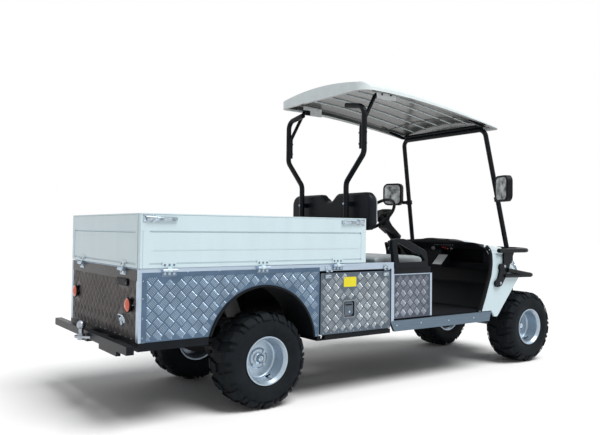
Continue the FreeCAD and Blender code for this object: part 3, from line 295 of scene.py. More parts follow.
def dress_nodes():
    make_metals()
    make_plastics()
    make_roof_white()
    for name, obj in NODES.items():
        obj.data.materials.clear()
        obj.data.materials.append(MATS[OWN_FINISH.get(name, SLOTS[name])])


# Mesh helpers

CURVE_STEPS = 6
ARC_STEPS = 5


def new_object(name, data):
    obj = bpy.data.objects.new(name, data)
    bpy.context.scene.collection.objects.link(obj)
    return obj


def mesh_object(name, verts, faces):
    """A new mesh in the row frame, with all its faces pointed outward."""
    mesh = bpy.data.meshes.new(name)
    mesh.from_pydata([tuple(v) for v in verts], [], faces)
    form = bmesh.new()
    form.from_mesh(mesh)
    bmesh.ops.recalc_face_normals(form, faces=form.faces)
    form.to_mesh(mesh)
    form.free()
    return new_object(name, mesh)


def piece(name, verts, faces, slot, body, material=None, smooth=None):
    """A mesh that rides on a body; smooth is the sharpest angle, in degrees, kept round."""
    obj = mesh_object(name, verts, faces)
    obj.data.materials.append(MATS[material or slot])
    if smooth:
        for face in obj.data.polygons:
            face.use_smooth = True
        obj.data.set_sharp_from_angle(angle=math.radians(smooth))
    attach(obj, body)
    return obj


def join_meshes(parts):
    """One vertex and face list from several."""
    verts = []
    faces = []
    for part_verts, part_faces in parts:
        shift = len(verts)
        verts += part_verts
        faces += [tuple(i + shift for i in face) for face in part_faces]
    return verts, faces


def ring_faces(rings, count, closed_ends=True):
    """Faces between rings of equal point counts."""
    faces = []
    for ring in range(rings - 1):
        for i in range(count):
            j = (i + 1) % count
            faces.append((ring * count + i, ring * count + j, (ring + 1) * count + j,
                          (ring + 1) * count + i))
    if closed_ends:
        faces.append(tuple(reversed(range(count))))
        faces.append(tuple(range((rings - 1) * count, rings * count)))
    return faces


def block(low, high, edge):
    """A box with bevelled edges, corners in millimetres from the rear axle."""
    verts = []
    for level, inset in ((low[2], edge), (low[2] + edge, 0), (high[2] - edge, 0),
                         (high[2], edge)):
        x0, x1 = low[0] + inset, high[0] - inset
        y0, y1 = low[1] + inset, high[1] - inset
        e = edge * 0.8
        verts += [at(x0 + e, y0, level), at(x1 - e, y0, level), at(x1, y0 + e, level),
                  at(x1, y1 - e, level), at(x1 - e, y1, level), at(x0 + e, y1, level),
                  at(x0, y1 - e, level), at(x0, y0 + e, level)]
    return verts, ring_faces(4, 8)


def side_block(x0, x1, side, y0, y1, z0, z1, edge=0.8):
    """A block on one side of the cart, y counted outward from the middle."""
    low_y, high_y = sorted((side * y0, side * y1))
    return block((x0, low_y, z0), (x1, high_y, z1), edge)


def slab(outline, low, high, axis="y"):
    """A closed form from an x-z outline carried along y, or a y-z outline along x."""
    verts = [at(depth, a, b) if axis == "x" else at(a, depth, b)
             for depth in (low, high) for a, b in outline]
    return verts, ring_faces(2, len(outline))


def turned_form(base, axis, profile, count):
    """A form turned about an axis: profile is (radius, height) pairs in millimetres."""
    axis = axis.normalized()
    side = axis.orthogonal().normalized()
    other = axis.cross(side)
    verts = []
    for radius, height in profile:
        for i in range(count):
            angle = 2 * math.pi * i / count
            out = side * math.cos(angle) + other * math.sin(angle)
            verts.append(base + (out * radius + axis * height) / 1000)
    return verts, ring_faces(len(profile), count)


def tube_form(points, radius, count=10):
    """A round bar along points in metres."""
    verts = []
    side = None
    for i, point in enumerate(points):
        before = points[max(i - 1, 0)]
        after = points[min(i + 1, len(points) - 1)]
        way = (after - before).normalized()
        side = way.orthogonal() if side is None else side - way * side.dot(way)
        side.normalize()
        other = way.cross(side)
        for k in range(count):
            angle = 2 * math.pi * k / count
            out = side * math.cos(angle) + other * math.sin(angle)
            verts.append(point + out * radius / 1000)
    return verts, ring_faces(len(points), count)


def smooth_path(points):
    """Points along a smooth curve through the given points."""
    path = []
    for i in range(len(points) - 1):
        p0 = points[max(i - 1, 0)]
        p1, p2 = points[i], points[i + 1]
        p3 = points[min(i + 2, len(points) - 1)]
        for k in range(CURVE_STEPS):
            t = k / CURVE_STEPS
            path.append(((p1 * 2) + (p2 - p0) * t + (p0 * 2 - p1 * 5 + p2 * 4 - p3) * t * t
                         + (p1 * 3 - p0 - p2 * 3 + p3) * t ** 3) / 2)
    path.append(points[-1])
    return path


def bolt_head(base, axis, radius):
    """A hexagon head on its washer."""
    washer = turned_form(base, axis, [(radius * 1.5, 0), (radius * 1.5, 1.0),
                                      (radius * 1.4, 1.4)], 14)
    head = turned_form(base, axis, [(radius, 1.3), (radius, radius * 0.65),
                                    (radius * 0.85, radius * 0.85)], 6)
    return join_meshes([washer, head])


def dome_head(base, axis, radius):
    """A low round head, as on a rivet."""
    return turned_form(base, axis, [(radius, 0), (radius * 0.96, radius * 0.25),
                                    (radius * 0.75, radius * 0.5),
                                    (radius * 0.4, radius * 0.66)], 10)


def heads(name, places, axis, radius, slot, body, form=bolt_head, material=None):
    """One piece with a head at each place."""
    parts = [form(place, axis, radius) for place in places]
    piece(name, *join_meshes(parts), slot, body, material)


# Tread plate

CELL = 46.0
BARS = 5
BAR_STEP = CELL * 0.188
BAR_LENGTH = CELL * 0.86
BAR_REACH = CELL * 0.44
BAR_HALF_WIDE = CELL * 0.049
BAR_HEIGHT = 1.7
BAR_POINT = 5.0
SIDE_REACH = 1400
REAR_REACH = 1100


def bar_outline(half, wide, point):
    return [(-half, 0), (point - half, -wide), (half - point, -wide), (half, 0),
            (half - point, wide), (point - half, wide)]


def bar(centre, along, across, out):
    """One raised bar of the plate, with pointed ends and a flat top."""
    half = BAR_LENGTH / 2
    foot = bar_outline(half, BAR_HALF_WIDE, BAR_POINT)
    top = bar_outline(half - BAR_POINT, BAR_HALF_WIDE * 0.45, 3)
    verts = [centre + (along * u + across * v) / 1000 for u, v in foot]
    verts += [centre + (along * u + across * v + out * BAR_HEIGHT) / 1000 for u, v in top]
    faces = [(i, (i + 1) % 6, 6 + (i + 1) % 6, 6 + i) for i in range(6)]
    faces.append((6, 7, 8, 9, 10, 11))
    return verts, faces


def tread_plate(name, origin, right, up, reach, body, inside, material):
    """Groups of five bars, turned a quarter from cell to cell, over a flat panel."""
    out = right.cross(up)
    parts = []
    count = int(2 * reach / CELL) + 2
    for i in range(-count, count + 1):
        for j in range(-count, count + 1):
            angle = math.pi / 4 if (i + j) % 2 else -math.pi / 4
            cos, sin = math.cos(angle), math.sin(angle)
            u = (i + j) * CELL * math.sqrt(0.5)
            v = (j - i) * CELL * math.sqrt(0.5)
            along = right * cos + up * sin
            across = -right * sin + up * cos
            du, dv = cos * BAR_REACH, sin * BAR_REACH
            for k in range(BARS):
                step = (k - (BARS - 1) / 2) * BAR_STEP
                bu = u - sin * step
                bv = v + cos * step
                if inside(bu + du, bv + dv) and inside(bu - du, bv - dv):
                    parts.append(bar(origin + (right * bu + up * bv) / 1000, along, across,
                                     out))
    piece(name, *join_meshes(parts), "chequer", body, material)


# Where bars may stand on each panel.

def in_box(u, v, low, high, margin):
    return low[0] + margin < u < high[0] - margin and low[1] + margin < v < high[1] - margin


def near_hinge(along, hinges, half):
    return min(abs(along - hinge) for hinge in hinges) < half


def on_fitting(u, v, fitting, half_u, half_v):
    return abs(u - fitting[0]) < half_u and abs(v - fitting[1]) < half_v


def skirt_area(x, z):
    from_arch = math.hypot(x - ARCH[0], z - ARCH[1])
    low = SKIRT_LOW_REAR if x < ARCH[0] else SKIRT_LOW
    if z > RAIL_LOW - 14 and near_hinge(x, SIDE_HINGES, 52):
        return False
    return (BED_BACK + 16 < x < DOOR_BACK - 12 and low + 4 < z < RAIL_LOW + 22
            and from_arch > ARCH_R + 5)


def door_area(x, z):
    if on_fitting(x, z, LATCH, 52, 58) or on_fitting(x, z, DOOR_PLATE, 54, 34):
        return False
    if z > DOOR_TOP - 38 and near_hinge(x, DOOR_HINGES, 28):
        return False
    return in_box(x, z, (DOOR_BACK, DOOR_LOW), (DOOR_FRONT, DOOR_TOP), 7)


def seat_side_area(x, z):
    return in_box(x, z, (RAIL_FRONT + 6, FLOOR_Z), (SEAT_FRONT - 22, SEAT_BASE_TOP), 4)


def rear_area(y, z):
    if math.hypot(abs(y) - TAIL_LAMP[0], z - TAIL_LAMP[1]) < 44:
        return False
    if on_fitting(y, z, PLATE_BAR, 78, 28) or on_fitting(y, z, REAR_CATCH, 50, 38):
        return False
    if z > RAIL_LOW - 14 and near_hinge(y, TAIL_HINGES, 48):
        return False
    return in_box(y, z, (3 - REAR_HALF_W, SKIRT_LOW_REAR), (REAR_HALF_W - 3, RAIL_TOP - 2), 4)


def bed_area(across, x):
    return in_box(across, x, (-BED_HALF_W, BED_BACK + 42), (BED_HALF_W, BED_FRONT - 29), 6)


def make_tread():
    # The rear edge strip takes the rear plate copy, painted dark as shade.
    back = block((BED_BACK - 0.9, -REAR_HALF_W, RAIL_LOW - 22),
                 (BED_BACK + 1, REAR_HALF_W, RAIL_TOP - 2), 0.4)
    piece("tread_rear_edge", *back, "chequer", "cart", "chequer_rear")
    skin = (HALF_W - 1, HALF_W + 0.5)
    behind = BED_BACK + 15
    for word, side in SIDES:
        strips = [side_block(behind, DOOR_BACK - 8, side, *skin, RAIL_LOW - 3, RAIL_LOW + 23,
                             0.3),
                  side_block(behind, behind + 29, side, *skin, SKIRT_LOW_REAR + 1,
                             RAIL_LOW - 3, 0.3)]
        piece("tread_skirt_edge_" + word, *join_meshes(strips), "chequer", "cart")
        right = Vector((-side, 0, 0))
        # Each panel's bars take a lighter copy of its plate colour, as painted highlight; the
        # seat bars are painted darker as shade.
        for name, depth, area, body, material in (
                ("tread_skirt_", HALF_W - 2, skirt_area, "cart", "chequer_bars"),
                ("tread_door_", HALF_W, door_area, "storage_door_" + word,
                 "chequer_door_bars"),
                ("tread_seat_side_", HALF_W - 6, seat_side_area, "cart",
                 "chequer_seat_bars")):
            tread_plate(name + word, at(0, side * depth, 0), right, UP, SIDE_REACH, body,
                        lambda u, v, s=side, a=area: a(-s * u, v), material)
    # The rear bars are painted dark as shade; the bed floor's bars lighter, as painted
    # highlight.
    tread_plate("tread_rear", at(BED_BACK + 1, 0, 0), OUT[-1], UP, REAR_REACH, "cart",
                lambda u, v: rear_area(-u, v), "chequer_rear_bars")
    tread_plate("tread_bed_floor", at(0, 0, RAIL_TOP), OUT[-1], FRONT, REAR_REACH, "cart",
                bed_area, "chequer_bars")


# Tyres

LUGS = 14
TREAD_R = 279.5
CROWN_END = 84.0
CROWN_DROP = 1.6
SHOULDER_END = 104.0
SHOULDER_DROP = 11.0
FLANK = 125.0
LUG_SKEW = 16.0
LUG_WIDENING = 3.0
LUG_EDGE = 2.5
LUG_ROOT_R = 266.0
ROOT_FALL_START = 96.0
ROOT_FALL = 1.05
LUG_TURN = math.asin(38 / WHEEL_R) - math.pi / LUGS
# Each pitch's blocks: share of a pitch, inner and outer offset, half width, drift.
LUG_BLOCKS = ((0, 5, 60, 27.5, -7), (0, 65, 123.3, 29, -2), (0.5, 100, 123.0, 8, -2))
# Half of the carcass from the tread's middle round to the bead: offset, radius.
CARCASS = [(0, 266.5), (40, 266), (76, 264), (98, 259), (112, 246), (119, 229), (122.5, 208),
           (122, 190), (118.5, 174), (114.5, 163), (113.8, 158), (111, 152), (107, 143),
           (101, 128)]
CARCASS_STEPS = 96
VALVE = [(5, -14), (5, 10), (3.6, 14), (3.4, 26), (4.4, 27), (4.4, 36), (2.5, 38)]
HUB_CAP = [(25, 6), (25, 14), (23, 26), (17, 33), (8, 36)]


def round_axle(centre, radius, angle, y):
    """A point of a wheel at an angle forward from its top."""
    return centre + Vector((radius * math.sin(angle), y, radius * math.cos(angle))) / 1000


def carcass(centre):
    count = CARCASS_STEPS
    full = [(-y, r) for y, r in reversed(CARCASS)] + CARCASS[1:]
    verts = [round_axle(centre, r, 2 * math.pi * i / count, y)
             for y, r in full for i in range(count)]
    return verts, ring_faces(len(full), count, False)


def lug_top(offset):
    """The tread block's outer radius at an offset from the tyre's middle."""
    if offset < CROWN_END:
        return TREAD_R - CROWN_DROP * (offset / CROWN_END) ** 2
    crown = TREAD_R - CROWN_DROP
    if offset < SHOULDER_END:
        share = (offset - CROWN_END) / (SHOULDER_END - CROWN_END)
        return crown - SHOULDER_DROP * share ** 1.6
    return crown - SHOULDER_DROP - 24 * (offset - SHOULDER_END) / 19.5


def lug_block(centre, side, turn, y0, y1, half_width, drift):
    """One bevelled block of tread between two offsets on one flank."""
    stations = [y0, y0 + LUG_EDGE, *(y0 + (y1 - y0) * k / 4 for k in (1, 2, 3)),
                y1 - LUG_EDGE, y1]
    verts = []
    for i, y in enumerate(stations):
        edge = LUG_EDGE if i in (0, len(stations) - 1) else 0
        top = lug_top(y) - edge
        floor = min(top - 3, LUG_ROOT_R - max(0.0, y - ROOT_FALL_START) * ROOT_FALL)
        middle = drift + LUG_SKEW * y / FLANK
        half = half_width + LUG_WIDENING * y / FLANK - edge
        section = [(-half, floor), (-half, top - 2.2), (-half + 2.4, top), (half - 2.4, top),
                   (half, top - 2.2), (half, floor)]
        verts += [round_axle(centre, r, turn + (middle + t) / TREAD_R, side * y)
                  for t, r in section]
    return verts, ring_faces(len(stations), 6)


def make_tyre(name, outer):
    """The dressed tyre; outer is the side that the blocks at the first place are on."""
    node, body = "tyre_" + name, "wheel_" + name
    low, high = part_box(node)
    centre = Vector(((low.x + high.x) / 2, (low.y + high.y) / 2, WHEEL_R / 1000))
    pitch = 2 * math.pi / LUGS
    parts = []
    for side in (-1, 1):
        first = 0.0 if side == outer else 0.5
        for i in range(LUGS):
            for share, *shape in LUG_BLOCKS:
                turn = LUG_TURN + (i + first + share) * pitch
                parts.append(lug_block(centre, side, turn, *shape))
    base = piece("carcass_" + body, *carcass(centre), "tyre_rubber", body, smooth=50)
    piece("lugs_" + body, *join_meshes(parts), "tyre_rubber", body, smooth=25)
    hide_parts(node)


def make_tyres():
    for name, side in WHEELS:
        make_tyre(name, side)


def make_wheel_trim():
    """A valve stem and a hub cap on each wheel."""
    for name, side in WHEELS:
        body = "wheel_" + name
        low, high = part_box("rim_" + name)
        middle = (low + high) / 2
        out = OUT[side]
        stem = middle + Vector((0.045, 0, -0.108)) + out * 0.030
        stem_way = (out + Vector((0.1, 0, 0.5))).normalized()
        piece("valve_" + body, *turned_form(stem, stem_way, VALVE, 12), "tyre_rubber", body,
              "black_rubber")
        piece("hub_cap_" + body, *turned_form(middle + out * 0.010, out, HUB_CAP, 28),
              "zinc_steel", body, "chrome", smooth=30)


# Seat

def rounded_outline(points):
    """An outline of (a, b, radius) corners with its corners drawn as arcs."""
    path = []
    for i, (a, b, radius) in enumerate(points):
        here = Vector((a, b))
        before = Vector(points[i - 1][:2])
        after = Vector(points[(i + 1) % len(points)][:2])
        back = (before - here).normalized()
        ahead = (after - here).normalized()
        half = back.angle(ahead) / 2
        reach = radius / math.tan(half)
        centre = here + (back + ahead).normalized() * (radius / math.sin(half))
        start = here + back * reach - centre
        end = here + ahead * reach - centre
        for k in range(ARC_STEPS + 1):
            spoke = start.lerp(end, k / ARC_STEPS).normalized() * radius
            path.append(tuple(centre + spoke))
    return path


SWELL_FRAMES = 20
SWELL_PRESSURE = 4.0
SEAM_DEPTH = 2.6
SEAM_WIDTH = 5.0
PAD_SLOT = "grey_vinyl"
BACK_INSET = 13
SEAT_SEAM_Y = 0.455
SEAT_SEAM_X = 1310
BACK_SEAM_Y = 0.385


def apply_modifiers(obj):
    bpy.context.view_layer.update()
    graph = bpy.context.evaluated_depsgraph_get()
    mesh = bpy.data.meshes.new_from_object(obj.evaluated_get(graph))
    obj.modifiers.clear()
    obj.data = mesh


def stuffed(obj, voxel, cap):
    """Remeshes a pad and swells it by cloth simulation, by no more than the cap."""
    remesh = obj.modifiers.new("Remesh", "REMESH")
    remesh.mode = "VOXEL"
    remesh.voxel_size = voxel
    soften = obj.modifiers.new("Smooth", "SMOOTH")
    soften.factor = 0.5
    soften.iterations = 14
    apply_modifiers(obj)
    before = [v.co.copy() for v in obj.data.vertices]
    cloth = obj.modifiers.new("Cloth", "CLOTH")
    cloth.settings.use_pressure = True
    cloth.settings.uniform_pressure_force = SWELL_PRESSURE
    cloth.settings.effector_weights.gravity = 0
    cloth.settings.quality = 4
    scene = bpy.context.scene
    scene.frame_start = 1
    scene.frame_end = SWELL_FRAMES
    for number in range(1, SWELL_FRAMES + 1):
        scene.frame_set(number)
    apply_modifiers(obj)
    for vertex, start in zip(obj.data.vertices, before):
        move = vertex.co - start
        if move.length > cap:
            vertex.co = start + move.normalized() * cap
    scene.frame_set(1)


def sewn(obj, distance, normal_axis):
    """Presses a seam into the pad where distance(point) is nearly nothing."""
    obj.data.update()
    for vertex in obj.data.vertices:
        gap = abs(distance(vertex.co))
        if gap < SEAM_WIDTH / 1000 and abs(vertex.normal[normal_axis]) > 0.5:
            press = SEAM_DEPTH / 1000 * (1 - (gap * 1000 / SEAM_WIDTH) ** 2)
            vertex.co -= vertex.normal * press


def dress_pad(obj, node, body):
    obj.data.materials.clear()
    obj.data.materials.append(MATS[PAD_SLOT])
    finer = obj.modifiers.new("Subdivision", "SUBSURF")
    finer.levels = 1
    finer.render_levels = 1
    for face in obj.data.polygons:
        face.use_smooth = True
    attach(obj, body)
    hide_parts(node)


def seat_back_outline():
    """Two humps with a dip between them, set in from the shell that holds the pad."""
    wide = HALF_W - 111 - BACK_INSET
    top = 1305 - BACK_INSET
    half = [(28, top - 56, 50), (95, top, 60), (wide, top, 75 - BACK_INSET),
            (wide, 1045 + BACK_INSET, 50)]
    return rounded_outline(half + [(-a, b, r) for a, b, r in reversed(half)])


def make_seats():
    side = [(886, 797), (886, 850), (912, 861), (1316, 861), (1348, 852), (1362, 832),
            (1361, 804), (1352, 797)]
    cushion = mesh_object("cushion_seat", *slab(side, -491, 491))
    stuffed(cushion, voxel=0.0078, cap=0.007)
    seam_x = at(SEAT_SEAM_X, 0, 0).x
    sewn(cushion, lambda co: min(abs(abs(co.y) - SEAT_SEAM_Y), abs(co.x - seam_x)), 2)
    dress_pad(cushion, "seat_cushion", "seat_cushion")
    back = mesh_object("cushion_back", *slab(seat_back_outline(), 884, 956, "x"))
    stuffed(back, voxel=0.006, cap=0.008)
    sewn(back, lambda co: min(abs(co.y), abs(abs(co.y) - BACK_SEAM_Y)), 0)
    dress_pad(back, "seat_back", "cart")


# Bed and boards

LINE_HIGH = 1028.0
LINE_LOW = 852.0
SKIN = 2.4


def make_board_frames():
    """The proud rims round each board's pressed field, and the lip along its top."""
    top = BOARD_TOP - 1
    foot = RAIL_TOP + 4
    back, front = BED_BACK + 2, BED_FRONT - 2
    bands = ((LINE_HIGH, top - 7), (top - 5, top))
    fields = [(back, front, *band) for band in bands]
    fields += [(x0, x1, foot, LINE_HIGH) for x0, x1 in
               ((back, back + 12), (back + 15, back + 52), (front - 40, front))]
    fields.append((back + 52, front - 40, foot, LINE_LOW))
    for word, side in SIDES:
        parts = [side_block(x0, x1, side, HALF_W, HALF_W + SKIN, z0, z1)
                 for x0, x1, z0, z1 in fields]
        parts.append(side_block(back + 68, front - 56, side, HALF_W, HALF_W + 0.9, 924, 928,
                                0.4))
        piece("board_frame_" + word, *join_meshes(parts), "board_white", "side_board_" + word)
    wide = HALF_W - 26
    inner = wide - 22
    fields = [(-wide, wide, *band) for band in bands]
    fields += [(-wide, -inner, foot, LINE_HIGH), (inner, wide, foot, LINE_HIGH),
               (-inner, inner, foot, LINE_LOW)]
    parts = [block((BED_BACK - SKIN, y0, z0), (BED_BACK, y1, z1), 0.8)
             for y0, y1, z0, z1 in fields]
    piece("board_frame_tail", *join_meshes(parts), "board_white", "tailboard")


def hinge_leaf(name, spot, out, middle, half, thick, levels, steps, radius, body, plate,
               bolt):
    """A leaf with a row of bolts; spot(along, depth, z) gives places on its face."""
    low, bolt_level, high = levels
    ends = list(zip(spot(middle - half, 0, low), spot(middle + half, thick, high)))
    box = block([min(pair) for pair in ends], [max(pair) for pair in ends], 0.5)
    piece(name + "_plate", *box, "zinc_steel", body, plate)
    bolts = [at(*spot(middle + step, thick, bolt_level)) for step in steps]
    heads(name + "_bolts", bolts, out, radius, "zinc_steel", body, bolt_head, bolt)


def make_side_hinges(word, side):
    def rail_spot(x, depth, z):
        return x, side * (HALF_W + 4 + depth), z

    def door_spot(x, depth, z):
        return x, side * (HALF_W + 3 + depth), z

    out = OUT[side]
    threes = (-26, 0, 26)
    pair = (-14, 14)
    for i, x in enumerate(SIDE_HINGES):
        tail = "_%s_%d" % (word, i)
        heads("board_bolts" + tail, [at(*rail_spot(x + step, 0, 851)) for step in threes],
              out, 6.2, "zinc_steel", "side_board_" + word, dome_head, "sill_aluminium")
        hinge_leaf("rail_hinge" + tail, rail_spot, out, x, 39, 1.2, (793, 805, 818), threes,
                   5.2, "cart", "sill_aluminium", "aluminium")
    for i, x in enumerate(DOOR_HINGES):
        tail = "_%s_%d" % (word, i)
        hinge_leaf("door_hinge" + tail, door_spot, out, x, 23, 1, (744, 754, 766), pair, 4.6,
                   "storage_door_" + word, "chrome", "chrome")
        hinge_leaf("door_hinge_top" + tail, door_spot, out, x, 23, 1, (796, 807, 817), pair,
                   4.6, "cart", "chrome", "chrome")


def make_tail_hinges():
    def tail_spot(y, depth, z):
        return BED_BACK - 4 - depth, y, z

    for i, y in enumerate(TAIL_HINGES):
        for name, levels, body in (("tail_hinge_%d", (836, 850, 862), "tailboard"),
                                   ("tail_hinge_low_%d", (794, 806, 818), "cart")):
            hinge_leaf(name % i, tail_spot, BACK, y, 36, 1.2, levels, (-24, 24), 5, body,
                       "chrome", "zinc_steel")


def make_latch_trim():
    """Rivets and a hooked claw on the over-centre catches at the boards' top corners."""
    for word, side in SIDES:
        body = "side_board_" + word
        y = side * (HALF_W + 5)
        places = [at(x, y, z) for x in (BED_BACK + 22, BED_BACK + 68, BED_FRONT - 68,
                                        BED_FRONT - 22) for z in (1078, 1106)]
        heads("latch_rivets_" + word, places, OUT[side], 3.4, "chrome", body, dome_head)
        parts = []
        for x, way in ((BED_BACK + 46, 1), (BED_FRONT - 46, -1)):
            path = [at(x + way * dx, side * (HALF_W + dy), 1093 + dz) for dx, dy, dz in
                    ((-18, 9, 8), (30, 13, 5), (92, 14, 0), (140, 10, -1))]
            parts.append(tube_form(smooth_path(path), 5.0))
        piece("latch_levers_" + word, *join_meshes(parts), "chrome", body, smooth=40)


def make_rivets():
    for word, side in SIDES:
        face = side * HALF_W
        skirt = side * (HALF_W - 2)
        places = [at(x, skirt, SKIRT_LOW_REAR + 11) for x in range(-730, -390, 62)]
        places += [at(x, skirt, SKIRT_LOW + 10) for x in (338, 356)]
        places += [at(-768, face, z) for z in (480, 580, 680, 770)]
        places += [at(x, face, RAIL_TOP - 20) for x in (-520, -330, 160, 640, 740)]
        heads("rivets_" + word, places, OUT[side], 3.2, "aluminium", "cart", dome_head)
        places = [at(x, face, DOOR_LOW + 10) for x in range(392, 940, 60)]
        heads("door_rivets_" + word, places, OUT[side], 3.0, "aluminium",
              "storage_door_" + word, dome_head)
        places = [at(x, face, z) for x, z in ((1012, 408), (1240, 408), (1520, 406),
                                              (1790, 404))]
        heads("sill_bolts_" + word, places, OUT[side], 3.8, "aluminium", "cart")
        make_seat_panel_edges(word, side)
    places = [at(BED_BACK + 1, y, SKIRT_LOW_REAR + 12) for y in range(-480, 500, 80)]
    places += [at(BED_BACK + 1, y, RAIL_TOP - 26) for y in (-200, -60, 80, 220)]
    heads("rear_rivets", places, BACK, 3.2, "aluminium", "cart", dome_head)


def make_seat_panel_edges(word, side):
    """The bright edges round the tread plate on one side of the seat base."""
    face = HALF_W - 6
    low, high = FLOOR_Z + 1, SEAT_BASE_TOP - 1
    back, front = RAIL_FRONT + 3, SEAT_FRONT
    strips = ((front - 18, front, 1.8, low), (back, back + 7, 1.8, low),
              (back + 7, front - 18, 1.4, high - 6))
    parts = [side_block(x0, x1, side, face, face + rise, z0, high)
             for x0, x1, rise, z0 in strips]
    piece("seat_panel_edges_" + word, *join_meshes(parts), "aluminium", "cart")


def outline_plate(name, outline, place, across, out, depth, slot, body, material=None,
                  hole=None):
    """A flat plate from an (a, b) outline on the face at place; a ring when it has a hole."""
    rings = [outline, outline] if hole is None else [hole, outline, outline, hole]
    rise = [0, depth] if hole is None else [0, 0, depth, depth]
    verts = []
    for ring, lift in zip(rings, rise):
        verts += [place + (across * a + UP * b + out * lift) / 1000 for a, b in ring]
    count = len(outline)
    faces = ring_faces(len(rings), count, hole is None)
    if hole is not None:
        for i in range(count):
            j = (i + 1) % count
            faces.append((3 * count + i, 3 * count + j, j, i))
    piece(name, verts, faces, slot, body, material)


def box_outline(half_a, half_b, radius):
    return rounded_outline([(-half_a, -half_b, radius), (half_a, -half_b, radius),
                            (half_a, half_b, radius), (-half_a, half_b, radius)])


def make_door_trim():
    x, z = LATCH
    for word, side in SIDES:
        body = "storage_door_" + word
        outline_plate("latch_frame_" + word, box_outline(50, 56, 13), at(x, side * HALF_W, z),
                      BACK * side, OUT[side], 1.6, "black_plastic", body, "mark_grey",
                      hole=box_outline(43, 49, 11))
        lock = at(x + 4, side * (HALF_W - 4), z - 18)
        piece("latch_lock_" + word, *turned_form(lock, OUT[side], [(7, 0), (7, 2.4), (6, 3)],
                                                 20), "zinc_steel", body, "chrome")
        grip = side_block(x - 26, x + 26, side, HALF_W - 4, HALF_W - 1, z + 22, z + 30)
        piece("latch_grip_" + word, *grip, "black_plastic", body)
    place = at(DOOR_PLATE[0], -HALF_W, DOOR_PLATE[1])
    for name, outline, depth, hole in (
            ("plate_yellow", box_outline(49, 29, 4), 1.0, None),
            ("plate_yellow_rim", box_outline(51, 31, 5), 1.5, box_outline(46, 26, 3))):
        outline_plate(name, outline, place, FRONT, OUT[-1], depth, "board_white",
                      "storage_door_right", "yellow_plate", hole=hole)


LAMP_CUP = [(29, 0), (33, 4), (39.5, 8), (39.5, 15.5), (38, 17), (36, 17.2)]
CATCH_HOOK = ((2, -39, 12), (12, -27, 26), (15, -1, 28), (12, 27, 24), (3, 39, 10))


def make_rear_trim():
    x = BED_BACK + 1
    z = TAIL_LAMP[1]
    for i, side in enumerate((-1, 1)):
        y = side * TAIL_LAMP[0]
        piece("lamp_cup_%d" % i, *turned_form(at(x, y, z), BACK, LAMP_CUP, 36),
              "black_rubber", "cart", smooth=30)
        pin = tube_form([at(x - 9, y - 36, z + 2), at(x - 9, y - 66, z + 4)], 2.6, 8)
        piece("lamp_pin_%d" % i, *pin, "zinc_steel", "cart", "chrome")
    y, z = PLATE_BAR
    plate = [block((x - 9, y - 76, z - 20), (x, y + 76, z + 20), 2.0),
             block((x - 12, y - 70, z + 9), (x - 9, y + 70, z + 16), 1.0)]
    piece("plate_lamp_bar", *join_meshes(plate), "black_plastic", "cart")
    screws = [at(x - 9, y + step, z - 7) for step in (-60, 60)]
    heads("plate_lamp_screws", screws, BACK, 3.0, "zinc_steel", "cart", dome_head)
    y, z = REAR_CATCH
    hook = [at(x - depth, y + across, z + rise) for depth, across, rise in CATCH_HOOK]
    catch = [block((x - 2.5, y - 41, z - 14), (x, y + 41, z + 16), 1.0),
             tube_form(smooth_path(hook), 5.0),
             turned_form(at(x, y - 1, z - 20), BACK, [(15, 0), (15, 5), (12, 8), (5, 9)], 24)]
    piece("rear_catch", *join_meshes(catch), "chrome", "cart", smooth=40)


# Cab

COWL_EDGE = ((1871, 450), (1890, 493), (1918, 554), (1952, 640), (1981, 714), (1994, 790),
             (1992, 859), (1977, 905), (1958, 932))
COWL_SCREWS = ((1965.5, 579.7, 905), (1988, 579, 770), (1893, 579, 500))
COWL_CURL_START = 885
COWL_CURL = 0.0069
LAMP_RIM = [(52, 4), (56, 8), (57, 14), (54, 18), (50, 18), (47, 14)]


def cowl_edge(side):
    """The cowl's rear edge beside the door opening, from the sill to the dash."""
    points = []
    for x, z in COWL_EDGE:
        curl = COWL_CURL * max(0, z - COWL_CURL_START) ** 2
        points.append(at(x - 4, side * (HALF_W - 4 - curl), z))
    return points


def make_cowl_trim():
    for word, side in SIDES:
        edge = tube_form(smooth_path(cowl_edge(side)), 14, 12)
        piece("cowl_edge_" + word, *edge, "black_plastic", "cart", smooth=40)
        way = Vector((-0.7, side, 0)).normalized()
        places = [at(x, side * y, z) for x, y, z in COWL_SCREWS]
        heads("cowl_screws_" + word, places, way, 4.6, "aluminium", "cart", dome_head)
        lamp = at(FRONT_AXLE + 128, side * 300, 738)
        aim = Vector((0.58, side * 0.72, 0.38)).normalized()
        verts, faces = turned_form(lamp, aim, LAMP_RIM, 40)
        piece("lamp_bezel_" + word, verts, faces[:-2], "chrome", "cart", smooth=40)
        bolts = [at(FRONT_AXLE + x, side * (HALF_W + 18), z)
                 for x, z in ((-380, 777), (-430, 650))]
        heads("guard_bolts_" + word, bolts, OUT[side], 7.5, "zinc_steel", "cart")


# The sloping instrument panel and the console below it, as (x, z) places.
FASCIA_TOP = (1914, 952)
FASCIA_FOOT = (1984, 890)
FASCIA_OUT = Vector((-0.663, 0, -0.749))
CONSOLE_TOP = (1990, 858)
CONSOLE_FOOT = (1896, 768)
CONSOLE_Y = (-160, -44)
DASH_LIGHTS = (("dash_light_red", 0.62, -122, "light_red"),
               ("dash_light_amber", 0.8, -160, "light_amber"),
               ("dash_light_red_small", 0.7, -140, "light_red"))


def fascia(share, y, lift=0.0):
    """A point on the instrument panel, from its top edge at 0 to its foot at 1."""
    x, z = [top + (foot - top) * share for top, foot in zip(FASCIA_TOP, FASCIA_FOOT)]
    return at(x, y, z) + FASCIA_OUT * lift / 1000


